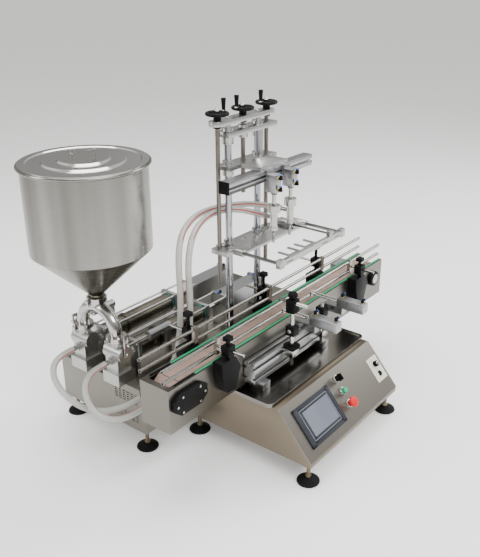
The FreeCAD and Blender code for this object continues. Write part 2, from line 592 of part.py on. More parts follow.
# Tower: two ground shafts in flanged sockets on a base plate, tied by the top plate.
sizes(tower_x=-15, tower_y=139, shaft_gap=82, screw_gap=134, column_r=12.5, tower_base=12, socket_r=24,
      tower_socket=30, top_low=1125, top_thick=16, top_half=165, top_deep=50, column_clear=0.05,
      screw_r=7.5, screw_clear=0.5)
SHAFTS = ["tower_x - shaft_gap", "tower_x + shaft_gap"]
SCREWS = ["tower_x - screw_gap", "tower_x", "tower_x + screw_gap"]
columns = [rod("z", x, "tower_y", "tray_floor + tower_base", "column_r", "top_low - tray_floor - tower_base")
           for x in SHAFTS]
node("tower_shafts", *columns)
base = [box("tower_x - top_half", "tower_y - 29", "tray_floor", "2 * top_half", 58, "tower_base")]
base += [rod("z", x, "tower_y", "tray_floor + tower_base", "socket_r", "tower_socket") for x in SHAFTS]
base_holes = [rod("z", x, "tower_y", "tray_floor + tower_base", "column_r", 100) for x in SHAFTS]
top = fuse(box("tower_x - top_half + top_deep / 2", "tower_y - top_deep / 2", "top_low",
               "2 * top_half - top_deep", "top_deep", "top_thick"),
           *[rod("z", f"tower_x {way} (top_half - top_deep / 2)", "tower_y", "top_low", "top_deep / 2",
                 "top_thick") for way in "+-"])
top_holes = [rod("z", x, "tower_y", "top_low - 1", "screw_r + screw_clear", "top_thick + 2") for x in SCREWS]
node("tower_plates", cut(fuse(*base), *base_holes), cut(top, *top_holes))

# Lead screws and handwheels: each screw hangs from the top plate by its collar and hub.
sizes(side_screw_low=560, middle_screw_low=868, collar_ring_r=13, collar_ring=8, plate_clear=0.3,
      wheel_r=40, wheel_low=1158, wheel_rim_r=6, wheel_hub_r=13, wheel_hub=28, spoke_r=4.5,
      grip_r=8.5, grip_top=1210, grip_at=33, centre_nut_r=8, centre_nut=7)
for name, x, low, grip_side in (("left", SCREWS[0], "side_screw_low", 1),
                                ("middle", SCREWS[1], "middle_screw_low", -1),
                                ("right", SCREWS[2], "side_screw_low", -1)):
    hub_low = "top_low + top_thick + plate_clear"
    node("lead_screw_" + name,
         fuse(rod("z", x, "tower_y", low, "screw_r", f"{hub_low} - {low}"),
              rod("z", x, "tower_y", "top_low - plate_clear - collar_ring", "collar_ring_r", "collar_ring")))
    wheel = [rod("z", x, "tower_y", hub_low, "wheel_hub_r", "wheel_hub"),
             ring("z", x, "tower_y", "wheel_low + wheel_rim_r", "wheel_r - wheel_rim_r", "wheel_rim_r"),
             rod("z", x, "tower_y", f"{hub_low} + wheel_hub", "centre_nut_r", "centre_nut")]
    for angle in (0, 120, 240):
        spoke = doc.addObject("Part::Cylinder", "Spoke")
        spoke.Placement.Rotation = FreeCAD.Rotation(FreeCAD.Vector(0, 0, 1), angle + 90) * TURNS["x"]
        bind(spoke, Radius="spoke_r", Height="wheel_r - wheel_rim_r", Placement__Base__x=x,
             Placement__Base__y="tower_y", Placement__Base__z="wheel_low + wheel_rim_r")
        wheel.append(spoke)
    grip_x = f"{x} + {grip_side} * grip_at"
    wheel.append(cone("z", grip_x, "tower_y", "wheel_low + 2 * wheel_rim_r - 2", "grip_r - 3", "grip_r",
                      "grip_top - wheel_low - 2 * wheel_rim_r + 2"))
    node("handwheel_" + name, fuse(*wheel))

# Bridge plate: slides on the shafts in flanged bushings, driven by the nut on the middle screw.
sizes(bridge_low=1083, bridge_thick=17, bridge_left=112, bridge_right=160, bridge_half=30, bush_r=20,
      bush_down=26, bush_up=10, nut_r=17, nut_down=18, nut_up=8, right_hole_r=10)


def deck(low, thick):
    """The plate that the bridge and the carriage share."""
    return box("tower_x - bridge_left", "tower_y - bridge_half", low, "bridge_left + bridge_right",
               "2 * bridge_half", thick)


def bushings(low, height, radius):
    """A round bush on each tower shaft."""
    return [rod("z", x, "tower_y", low, radius, height) for x in SHAFTS]


def column_holes(low, height):
    """The running holes for both tower shafts."""
    return bushings(low, height, "column_r + column_clear")


nut_bore = rod("z", "tower_x", "tower_y", "bridge_low - nut_down - 1", "screw_r + column_clear", 100)
bridge = fuse(deck("bridge_low", "bridge_thick"),
              *bushings("bridge_low - bush_down", "bush_down + bridge_thick + bush_up", "bush_r"),
              rod("z", "tower_x", "tower_y", "bridge_low - nut_down", "nut_r",
                  "nut_down + bridge_thick + nut_up"))
node("bridge_plate", cut(bridge, *column_holes("bridge_low - bush_down - 1", 100), nut_bore,
                         rod("z", SCREWS[2], "tower_y", "bridge_low - 1", "right_hole_r", 100)))

# Lift cylinder under the bridge: its rod pushes the nozzle carriage down.
sizes(lift_x=44, lift_y=114, lift_r=13.5, lift_low=1006, lift_rod_r=5, lift_rod_in=62, lift_clear=0.3,
      carriage_top=985, carriage_thick=15)
lift_body = fuse(rod("z", "lift_x", "lift_y", "lift_low", "lift_r", "bridge_low - lift_low"),
                 rod("z", "lift_x", "lift_y", "lift_low - 5", "lift_r - 4", 5))
node("lift_cylinder", cut(lift_body, rod("z", "lift_x", "lift_y", "lift_low - 6", "lift_rod_r + lift_clear",
                                         "lift_rod_in + 8")))

# Nozzle carriage: the second plate on the shafts, with an arm forward over the nozzle bar.
sizes(carriage_bush_down=22, carriage_bush_up=14, arm_left=-62, arm_right=92, bar_front=25, bar_deep=40,
      bar_low=930, bar_left=230, bar_right=250, bar_tall=40)
carriage = fuse(deck("carriage_top - carriage_thick", "carriage_thick"),
                *bushings("carriage_top - carriage_thick - carriage_bush_down",
                          "carriage_bush_down + carriage_thick + carriage_bush_up", "bush_r"),
                box("arm_left", "bar_front", "carriage_top - carriage_thick", "arm_right - arm_left",
                    "tower_y - bridge_half - bar_front + 1", "carriage_thick"),
                rod("z", "lift_x", "lift_y", "carriage_top", "lift_rod_r",
                    "lift_low + lift_rod_in - 6 - carriage_top"))
node("nozzle_carriage", cut(carriage,
                            *column_holes("carriage_top - carriage_thick - carriage_bush_down - 1", 60),
                            *[rod("z", x, "tower_y", "carriage_top - carriage_thick - 1",
                                  "right_hole_r", 60) for x in SCREWS[1:]]))
bar = box("-bar_left", "bar_front", "bar_low", "bar_left + bar_right", "bar_deep", "bar_tall")
bar_slots = []
for low, depth in (("bar_front - 1", "slot_deep + 1"), ("bar_front + bar_deep - slot_deep", "slot_deep + 1")):
    bar_slots.append(box("-bar_left - 1", low, "bar_low + bar_tall / 2 - slot_half",
                         "bar_left + bar_right + 2", depth, "2 * slot_half"))
bar_slots.append(box("-bar_left - 1", "bar_front + bar_deep / 2 - slot_half", "bar_low - 1",
                     "bar_left + bar_right + 2", "2 * slot_half", "slot_deep + 1"))
end_cap = box("-bar_left - 5", "bar_front", "bar_low", 5, "bar_deep", "bar_tall")
node("nozzle_bar", cut(bar, *bar_slots), end_cap)

# Nozzle cylinders on mounting plates, each over a nozzle body with a side barb for its hose.
sizes(nozzle_left=-20, nozzle_right=78, nozzle_half=17, cylinder_low=895, cylinder_top=957, mount_thick=8,
      neck_r=7, cap_r=22, cap_low=824, cap_top=849, nozzle_r=13, nozzle_low=762, nozzle_nut_r=15,
      nozzle_nut=12, spout_r=5, spout_low=716, barb_z=803, barb_r=7, barb_out=40, plunger_r=3,
      plunger_clear=0.3, plunger_top=930)
heads = []
bodies = []
for x in ("nozzle_left", "nozzle_right"):
    plunger_bore = rod("z", x, 0, "spout_low - 1", "plunger_r + plunger_clear",
                       "plunger_top + 12 - spout_low")
    head = fuse(box(f"{x} - nozzle_half", "-nozzle_half", "cylinder_low", "2 * nozzle_half",
                    "2 * nozzle_half", "cylinder_top - cylinder_low"),
                box(f"{x} - nozzle_half", "nozzle_half", "cylinder_low", "2 * nozzle_half",
                    "bar_front - nozzle_half", "bar_low + bar_tall - cylinder_low"),
                rod("z", x, 0, "cylinder_low - 8", 11, 8))
    heads.append(cut(head, plunger_bore))
    body = fuse(rod("z", x, 0, "cap_top", "neck_r", "cylinder_low - 8 - cap_top"),
                rod("z", x, 0, "cap_low", "cap_r", "cap_top - cap_low"),
                rod("z", x, 0, "nozzle_low", "nozzle_r", "cap_low - nozzle_low"),
                rod("z", x, 0, "nozzle_low - 4", "nozzle_nut_r", "nozzle_nut"),
                cone("z", x, 0, "nozzle_low - 14", "spout_r", "nozzle_r - 3", 10),
                rod("z", x, 0, "spout_low", "spout_r", "nozzle_low - 14 - spout_low"),
                rod("y", x, 0, "barb_z", "barb_r", "barb_out"))
    bodies.append(cut(body, rod("z", x, 0, "spout_low - 1", "plunger_r + plunger_clear",
                                "cylinder_low - spout_low")))
node("nozzle_cylinders", *heads)
node("nozzle_bodies", *bodies)
sizes(valve_tip=5, valve_tip_r=5)
node("nozzle_plungers",
     *[fuse(rod("z", x, 0, "spout_low - plunger_clear - valve_tip", "plunger_r",
                "plunger_top - spout_low + plunger_clear + valve_tip"),
            cone("z", x, 0, "spout_low - plunger_clear - valve_tip", "valve_tip_r - 2", "valve_tip_r",
                 "valve_tip"))
       for x in ("nozzle_left", "nozzle_right")])

# Bottle-neck locator: a plate on both shafts, lifted by nuts on the two outer screws.
sizes(locator_low=684, locator_thick=10, locator_left=108, locator_right=262, locator_front=50,
      locator_back=168, locator_bush=16, guide_rod_left=-124, guide_rod_right=265, guide_rod_r=6,
      housing_r=12.8, housing_long=66, nut_block=14, nut_left=-172, nut_front=100, nut_back=158,
      slide_cylinder_x=182, slide_cylinder_r=13, slide_cylinder_long=78, slide_cylinder_rise=24,
      slide_rod_r=4)
LOCATOR_MID = "locator_low + locator_thick / 2"
SLIDE_Z = "locator_low + slide_cylinder_rise"
locator = [box("-locator_left", "locator_front", "locator_low", "locator_left + locator_right",
               "locator_back - locator_front", "locator_thick"),
           *bushings("locator_low - locator_bush", "locator_thick + 2 * locator_bush", "bush_r"),
           rod("z", SCREWS[2], "tower_y", "locator_low - 12", "nut_r", "locator_thick + 24"),
           box("nut_left", "nut_front - 12", "locator_low - 4", "-nut_left - locator_left + 1", 24,
               "locator_thick + 8"),
           box("nut_left", "nut_front", "locator_low - 4", "2 * nut_block + 4", "nut_back - nut_front",
               "locator_thick + 8"),
           rod("y", "guide_rod_left", "locator_front", LOCATOR_MID, "housing_r", "housing_long"),
           rod("y", "guide_rod_right", "locator_front", LOCATOR_MID, "housing_r", "housing_long"),
           rod("y", "slide_cylinder_x", "locator_front", SLIDE_Z, "slide_cylinder_r", "slide_cylinder_long"),
           box("slide_cylinder_x - 10", "locator_front + 20", "locator_low + locator_thick - 1", 20, 30, 8)]
locator_holes = [*column_holes("locator_low - 40", 100),
                 rod("z", SCREWS[0], "tower_y", "locator_low - 40", "screw_r + column_clear", 100),
                 rod("z", SCREWS[2], "tower_y", "locator_low - 40", "screw_r + column_clear", 100),
                 rod("z", SCREWS[1], "tower_y", "locator_low - 40", "right_hole_r", 100)]
for x in ("guide_rod_left", "guide_rod_right"):
    locator_holes.append(rod("y", x, "locator_front - 20", LOCATOR_MID, "guide_rod_r + bearing_clear", 160))
locator_holes.append(rod("y", "slide_cylinder_x", "locator_front - 1", SLIDE_Z, "slide_rod_r + lift_clear",
                         "slide_cylinder_long - 6"))
node("locator_plate", cut(fuse(*locator), *locator_holes))

# Locator slide: two rods, a slotted cross bar and a pair of forks that find the bottle necks.
sizes(left_rod_back=173, right_rod_back=128, slide_rod_back=78, rod_front=-96, cross_bar_y=-112,
      cross_bar_deep=14, cross_bar_left=-138, cross_bar_right=279, cross_bar_tall=22, fork_gap=24,
      fork_finger=8, fork_tip=-40, fork_thick=6)
CROSS_LOW = LOCATOR_MID + " - cross_bar_tall / 2"
slide = [rod("y", "guide_rod_left", "rod_front - 4", LOCATOR_MID, "guide_rod_r",
             "left_rod_back - rod_front + 4"),
         rod("y", "guide_rod_right", "rod_front - 4", LOCATOR_MID, "guide_rod_r",
             "right_rod_back - rod_front + 4"),
         rod("y", "slide_cylinder_x", "rod_front - 4", SLIDE_Z, "slide_rod_r",
             "slide_rod_back - rod_front + 4"),
         box("cross_bar_left", "cross_bar_y", CROSS_LOW, "cross_bar_right - cross_bar_left",
             "cross_bar_deep", "cross_bar_tall"),
         box("slide_cylinder_x - 12", "cross_bar_y", CROSS_LOW, 24, "cross_bar_deep", 42)]
for x in ("nozzle_left", "nozzle_right"):
    slide.append(box(f"{x} - fork_gap - fork_finger", "cross_bar_y + cross_bar_deep", LOCATOR_MID,
                     "2 * fork_gap + 2 * fork_finger", 14, "fork_thick"))
    for side in ("- fork_gap - fork_finger", "+ fork_gap"):
        slide.append(box(f"{x} {side}", "cross_bar_y + cross_bar_deep", LOCATOR_MID, "fork_finger",
                         "fork_tip - cross_bar_y - cross_bar_deep", "fork_thick"))
for x in ("guide_rod_left", "guide_rod_right"):
    slide.append(box(f"{x} - 12", "cross_bar_y - 2", LOCATOR_MID + " - 15", 24, "cross_bar_deep + 6", 30))
bar_windows = [box(low, "cross_bar_y - 1", LOCATOR_MID + " - 4", long, "cross_bar_deep + 2", 3.5)
               for low, long in ((-100, 40), (122, 40), (205, 36))]
node("locator_slide", cut(fuse(*slide), *bar_windows))

# Hopper: a spun stainless shell, its cone run down to a short neck, the rim rolled outwards.
sizes(hopper_wall=1.5, hopper_rim_z=1029, cone_top=740, cone_low=568, neck_bore=22, neck_out=24,
      neck_low=550, ferrule_r=28, ferrule=3)
hopper_shell = turned([("neck_bore", "neck_low"), ("ferrule_r", "neck_low"),
                       ("ferrule_r", "neck_low + ferrule"), ("neck_out", "neck_low + ferrule + 2"),
                       ("neck_out", "cone_low"), ("hopper_r", "cone_top"), ("hopper_r", "hopper_rim_z"),
                       ("hopper_r - hopper_wall", "hopper_rim_z"), ("hopper_r - hopper_wall", "cone_top + 1"),
                       ("neck_bore", "cone_low + 1")], "-hopper_x", "hopper_y")
rim = ring("z", "-hopper_x", "hopper_y", "hopper_rim_z", "hopper_r + hopper_rim_r - 1",
           "hopper_rim_r")
node("hopper", fuse(hopper_shell, rim))

# Hopper lid: a pressed cover with concentric steps and a bent strap handle, lying on the rim.
sizes(lid_r=199, lid_clear=0.3, lid_wall=1.5, lid_step=5, lid_flange_r=208, grip_half=45, grip_high=24,
      grip_thick=3, grip_wide=16)
LID_SEAT = "hopper_rim_z + hopper_rim_r + lid_wall + lid_clear"
LID_STEPS = [("lid_flange_r", LID_SEAT), ("lid_r - 14", LID_SEAT),
             ("lid_r - 18", "hopper_rim_z + lid_step"), ("lid_r - 62", "hopper_rim_z + lid_step"),
             ("lid_r - 68", "hopper_rim_z + 2 * lid_step"), ("lid_r - 112", "hopper_rim_z + 2 * lid_step"),
             ("lid_r - 118", "hopper_rim_z + 3 * lid_step"), ("0", "hopper_rim_z + 3 * lid_step")]
lid = turned(LID_STEPS + [(r, z + " - lid_wall") for r, z in reversed(LID_STEPS)],
             "-hopper_x", "hopper_y")
lid_top = "hopper_rim_z + 3 * lid_step"
handle = fuse(box("-hopper_x - grip_half", "hopper_y - grip_wide / 2",
                  lid_top + " + grip_high - grip_thick", "2 * grip_half", "grip_wide", "grip_thick"),
              *[box(f"-hopper_x + {at}", "hopper_y - grip_wide / 2", lid_top, "grip_thick", "grip_wide",
                    "grip_high") for at in ("grip_half - grip_thick", "-grip_half")])
node("hopper_lid", fuse(lid, handle))

# Manifold: an inverted U of pipe from the hopper's neck down to both valves.
sizes(manifold_z=424, manifold_leg=10, pipe_r=22.5, pipe_bore=20.5)
BEND_R = "(head_rear - head_front) / 2"
BEND_Z = "manifold_z + manifold_leg"
BEND_TOP = BEND_Z + " + " + BEND_R


def manifold(radius, past):
    """The inverted U with its two legs and its neck, as one solid of a radius."""
    below = box("head_left - 100", "hopper_y - 200", BEND_Z + " - 200", 200, 400, 200)
    legs = [rod("z", "head_left", y, f"manifold_z - {past}", radius, f"manifold_leg + {past}") for y in HEADS]
    return fuse(cut(ring("x", "head_left", "hopper_y", BEND_Z, BEND_R, radius), below), *legs,
                rod("z", "head_left", "hopper_y", BEND_TOP, radius, f"neck_low + {past} - ({BEND_TOP})"))


neck_ferrule = rod("z", "head_left", "hopper_y", "neck_low - ferrule", "ferrule_r", "ferrule")
node("hopper_manifold", cut(fuse(manifold("pipe_r", 0), neck_ferrule), manifold("pipe_bore", 1)))

# Pipe clamps: two-piece rings with a wing nut, at the hopper's neck and over both valves.
sizes(clamp_ring_r=35, clamp_ring_half=8)
pipe_rings = []
for y, z, hole in (("hopper_y", "neck_low", "ferrule_r"), ("head_front", "manifold_z", "pipe_r"),
                   ("head_rear", "manifold_z", "pipe_r")):
    solid = fuse(rod("z", "head_left", y, f"{z} - clamp_ring_half", "clamp_ring_r", "2 * clamp_ring_half"),
                 box("head_left - clamp_ring_r - 13", f"{y} - 8", f"{z} - 6", 17, 16, 12),
                 rod("z", "head_left - clamp_ring_r - 6", y, f"{z} - 18", 4, 36))
    pipe_rings.append(cut(solid, rod("z", "head_left", y, f"{z} - 30", hole, 60)))
node("pipe_clamps", *pipe_rings)

# Three-way valves: a cross barrel with the port up, the outlet to the left and a grey foot block.
sizes(barrel_half=42, valve_r=31, valve_z=369, spindle_r=7, spindle_clear=0.05, body_half=30, block_half=40,
      block_top=300, outlet_z=345, outlet_r=9, outlet_out=545, outlet_nut_r=14, cylinder_left=-425)
valves = []
for y in HEADS:
    body = fuse(rod("y", "head_left", f"{y} - barrel_half", "valve_z", "valve_r", "2 * barrel_half"),
                rod("z", "head_left", y, "valve_z", "pipe_r", "manifold_z - valve_z"),
                box("head_left - body_half", f"{y} - body_half", "block_top", "2 * body_half",
                    "2 * body_half", "valve_z - block_top"),
                box("head_left - block_half", f"{y} - block_half", "cabinet_top", "2 * block_half",
                    "2 * block_half", "block_top - cabinet_top"),
                rod("x", "-outlet_out", y, "outlet_z", "outlet_r", "outlet_out + head_left"),
                rod("x", "head_left - body_half - 14", y, "outlet_z", "outlet_nut_r", 20),
                rod("x", "head_left", y, "outlet_z + 5", "pipe_r - 2", "cylinder_left - head_left"))
    valves.append(cut(body, rod("y", "head_left", f"{y} - barrel_half - 1", "valve_z",
                                "spindle_r + spindle_clear", "2 * barrel_half + 2")))
node("valve_bodies", *valves)

# Product cylinders and air cylinders in line, with their end plates, tie rods and link rods.
sizes(bore_z=350, product_r=35, product_bore=31, product_left=-410, product_right=-55, flange_x=-304,
      end_plate=15, plate_half=40, air_left=60, air_right=312, air_half=34, air_bore=30, tie_r=4, tie_at=33,
      piston_rod_r=9, piston_clear=0.3)
TRAIN_PLATES = [("cylinder_left", "end_plate"), ("product_right", "end_plate"), ("air_left", "end_plate"),
                ("air_right - end_plate", "end_plate")]
tubes = []
plates = []
air = []
for y in HEADS:
    solid = fuse(rod("x", "product_left", y, "bore_z", "product_r", "product_right - product_left"),
                 rod("x", "flange_x", y, "bore_z", "product_r + 5", 12))
    tubes.append(cut(solid, rod("x", "product_left - 1", y, "bore_z", "product_bore",
                                "product_right - product_left + 2")))
    rod_hole = rod("x", "product_right - 1", y, "bore_z", "piston_rod_r + piston_clear",
                   "air_left - product_right + end_plate + 2")
    for x, thick in TRAIN_PLATES:
        block = fuse(box(x, f"{y} - plate_half", "bore_z - plate_half", thick, "2 * plate_half",
                         "2 * plate_half"),
                     box(x, f"{y} - plate_half + 8", "cabinet_top", thick, "2 * plate_half - 16",
                         "bore_z - plate_half - cabinet_top + 1"))
        plates.append(cut(block, rod_hole) if x in ("product_right", "air_left") else block)
    for start, end in (("product_left", "product_right"), ("product_right + end_plate", "air_left")):
        for side, rise in ((1, 1), (1, -1), (-1, 1), (-1, -1)):
            plates.append(rod("x", start, f"{y} + {side} * tie_at", f"bore_z + {rise} * tie_at", "tie_r",
                              f"{end} - ({start})"))
    case = box("air_left + end_plate", f"{y} - air_half", "bore_z - air_half",
               "air_right - air_left - 2 * end_plate", "2 * air_half", "2 * air_half")
    air.append(cut(case, rod("x", "air_left", y, "bore_z", "air_bore", "air_right - air_left")))
node("product_cylinders", *tubes)
node("cylinder_plates", *plates)

# Pistons: a seal-ringed product piston and the air piston on one rod.
sizes(piston_long=26, piston_at=-404, air_piston_at=80, air_piston_long=16)
for name, y in (("piston_front", "head_front"), ("piston_rear", "head_rear")):
    node(name, fuse(rod("x", "piston_at", y, "bore_z", "product_bore - piston_clear", "piston_long"),
                    rod("x", "piston_at", y, "bore_z", "piston_rod_r", "air_piston_at - piston_at"),
                    rod("x", "air_piston_at", y, "bore_z", "air_bore - piston_clear", "air_piston_long")))

# Valve actuators: a slotted lever on each spindle, a rod yoke with its pin, and a small cylinder.
sizes(lever_gap=4, lever_thick=6, lever_slot_low=40, lever_slot_high=69, lever_wide=22, lever_end=79,
      pin_r=3, pin_z=45, slot_clear=2.8, yoke_out=63, yoke_rod_r=5, actuator_r=15, actuator_left=-395,
      actuator_right=-290, yoke_left=-491, yoke_right=-342, actuator_post=18)
actuators = []
yokes = []
for name, y, side in (("front", "head_front", -1), ("rear", "head_rear", 1)):
    lever_low = f"{y} + {side} * (barrel_half + lever_gap)" if side > 0 else \
        f"{y} - barrel_half - lever_gap - lever_thick"
    spindle_low = f"{y} - barrel_half - lever_gap - lever_thick - 3" if side < 0 else f"{y} - barrel_half"
    arm = fuse(rod("y", "head_left", lever_low, "valve_z", "lever_wide / 2 + 2", "lever_thick"),
               box("head_left - lever_wide / 2", lever_low, "valve_z", "lever_wide", "lever_thick",
                   "lever_end"),
               rod("y", "head_left", spindle_low, "valve_z", "spindle_r",
                   "2 * barrel_half + lever_gap + lever_thick + 3"))
    slot = box("head_left - pin_r - slot_clear", f"{lever_low} - 1", "valve_z + lever_slot_low",
               "2 * pin_r + 2 * slot_clear", "lever_thick + 2", "lever_slot_high - lever_slot_low")
    node("valve_lever_" + name, cut(arm, slot))
    yoke_y = f"{y} + {side} * yoke_out"
    pin_low = yoke_y if side < 0 else f"{y} + barrel_half + lever_gap - 1"
    yokes.append(fuse(rod("x", "yoke_left", yoke_y, "valve_z + pin_z", "yoke_rod_r",
                          "yoke_right - yoke_left"),
                      rod("y", "head_left", pin_low, "valve_z + pin_z", "pin_r",
                          "yoke_out - barrel_half - lever_gap + 1")))
    body = fuse(rod("x", "actuator_left", yoke_y, "valve_z + pin_z", "actuator_r",
                    "actuator_right - actuator_left"),
                box("actuator_right - actuator_post", f"{yoke_y} - 8", "cabinet_top", "actuator_post", 16,
                    "valve_z + pin_z - cabinet_top"))
    actuators.append(cut(body, rod("x", "actuator_left - 1", yoke_y, "valve_z + pin_z",
                                   "yoke_rod_r + piston_clear", "actuator_right - actuator_left - 7")))
node("valve_yokes", *yokes)
node("air_cylinders", *air, *actuators)

# Product hoses: reinforced clear hose from each valve, round the left end, along the channel behind
# the conveyor, up beside the tower, over and down to the nozzle; the upper stretch moves with it.
sizes(hose_r=11)
HOSE_ROUTES = {
    "hose_front": [(-545, 329, 345), (-592, 329, 345), (-636, 320, 334), (-666, 298, 308), (-679, 264, 276),
                   (-672, 230, 246), (-645, 200, 226), (-606, 179, 220), (-564, 166, 226), (-520, 158, 235),
                   (-474, 152, 245), (-428, 146, 262), (-384, 140, 292), (-352, 135, 336), (-335, 132, 390),
                   (-327, 130, 452), (-323, 129, 516), (-322, 128, 582), (-324, 129, 640), (-321, 131, 692),
                   (-308, 136, 734), (-284, 145, 770), (-250, 154, 796), (-208, 162, 810), (-164, 168, 816),
                   (-120, 168, 817), (-82, 162, 815), (-52, 145, 812), (-31, 117, 808), (-20, 82, 803),
                   (-20, 40.3, 803)],
    "hose_rear": [(-545, 499, 345), (-592, 499, 345), (-638, 489, 334), (-668, 460, 313), (-684, 416, 290),
                  (-686, 368, 268), (-678, 320, 250), (-660, 276, 240), (-634, 238, 238), (-600, 208, 244),
                  (-560, 189, 252), (-515, 180, 260), (-470, 175, 270), (-428, 169, 290), (-394, 161, 324),
                  (-370, 155, 370), (-357, 152, 426), (-351, 150, 486), (-348, 148, 548), (-346, 149, 608),
                  (-347, 150, 666), (-343, 153, 718), (-331, 158, 758), (-306, 167, 790), (-270, 177, 808),
                  (-226, 188, 818), (-180, 195, 822), (-132, 194, 823), (-86, 185, 822), (-44, 172, 820),
                  (-11, 160, 817), (15, 149.4, 814), (36.5, 133.5, 811), (55.5, 114.5, 807.5),
                  (70, 92, 804.5), (78, 67.3, 803), (78, 40.3, 803)],
}
for name, points in HOSE_ROUTES.items():
    node(name, shaped(hose_tube(points, amount("hose_r"))))

doc.recompute()
for thing in doc.Objects:
    if "Invalid" in thing.State or "Error" in thing.State:
        raise RuntimeError(f"{thing.Name} {thing.Label} did not build: {thing.State}")
for group in nodes:
    if group.Shape.isNull() or not group.Shape.isValid():
        raise RuntimeError(f"{group.Label} has no valid shape")
    group.Shape.exportStep(f"parts/{group.Label}.step")
sheet.clear("D1")
doc.recompute()
box_all = FreeCAD.BoundBox()
for group in nodes:
    box_all.add(group.Shape.BoundBox)
print(len(nodes), "pieces, box", box_all)
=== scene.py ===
"""Two-head piston liquid filler with a slat conveyor: its looks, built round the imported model.

Lengths are in metres, but for the places given to at() and on_panel(), which are in millimetres. X
runs along the conveyor, Y from the operator's panel to the pump side and Z up. The pieces follow each
other in the order in which the machine is put together.
"""
import json
import math

import bmesh
import bpy
from mathutils import Matrix, Vector


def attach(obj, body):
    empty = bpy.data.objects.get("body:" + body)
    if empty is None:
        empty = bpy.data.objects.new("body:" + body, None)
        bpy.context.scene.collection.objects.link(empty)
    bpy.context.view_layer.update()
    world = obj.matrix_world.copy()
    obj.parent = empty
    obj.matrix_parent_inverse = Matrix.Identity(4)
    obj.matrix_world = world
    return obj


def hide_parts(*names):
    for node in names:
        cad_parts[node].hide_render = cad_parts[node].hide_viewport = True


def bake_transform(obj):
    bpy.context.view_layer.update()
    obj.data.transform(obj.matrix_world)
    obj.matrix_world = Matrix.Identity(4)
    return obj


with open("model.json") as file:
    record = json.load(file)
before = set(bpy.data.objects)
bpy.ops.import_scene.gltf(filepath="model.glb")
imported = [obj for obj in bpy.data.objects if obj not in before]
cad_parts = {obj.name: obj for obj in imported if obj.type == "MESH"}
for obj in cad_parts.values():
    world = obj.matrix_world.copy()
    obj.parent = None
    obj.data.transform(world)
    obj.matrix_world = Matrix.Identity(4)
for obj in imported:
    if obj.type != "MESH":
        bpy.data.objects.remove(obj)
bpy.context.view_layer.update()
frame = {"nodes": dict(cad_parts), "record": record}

# Camera: it stands at the front left of the machine, a little above its top, and looks down along the
# conveyor. Its shift keeps the machine low and left of the middle.
camera_data = bpy.data.cameras.new("camera")
camera_data.sensor_width = 36
camera_data.lens = 46.73
camera_data.shift_x = -0.0233
camera_data.shift_y = -0.0117
camera_data.clip_end = 200
camera = bpy.data.objects.new("camera", camera_data)
camera.location = (-1.945, -1.5275, 1.620)
camera.rotation_euler = (math.radians(66.7), 0, math.radians(-52.4))
bpy.context.scene.collection.objects.link(camera)
bpy.context.scene.camera = camera


# Product hoses: clear vinyl hose with a wire helix in its wall and two red stripes. Each leaves its
# valve to the left, loops under it, rises beside the tower and comes over to its nozzle. It is made
# in a lower and an upper length.
class Tone:
    """A shader socket that can be added, multiplied and compared in plain sums."""

    def __init__(self, paint, socket):
        self.paint, self.socket = paint, socket

    def sum(self, operation, *values):
        return self.paint.node("ShaderNodeMath", values, operation=operation)

    def __add__(self, other):
        return self.sum("ADD", self, other)

    def __radd__(self, other):
        return self.sum("ADD", other, self)

    def __mul__(self, other):
        return self.sum("MULTIPLY", self, other)

    def __truediv__(self, other):
        return self.sum("DIVIDE", self, other)

    def __gt__(self, other):
        return self.sum("GREATER_THAN", self, other)

    def sine(self):
        return self.sum("SINE", self)

    def clamped(self):
        return self.sum("MINIMUM", self.sum("MAXIMUM", self, 0), 1)

    def output(self, index):
        """Another output of the same node."""
        return Tone(self.paint, self.socket.node.outputs[index])


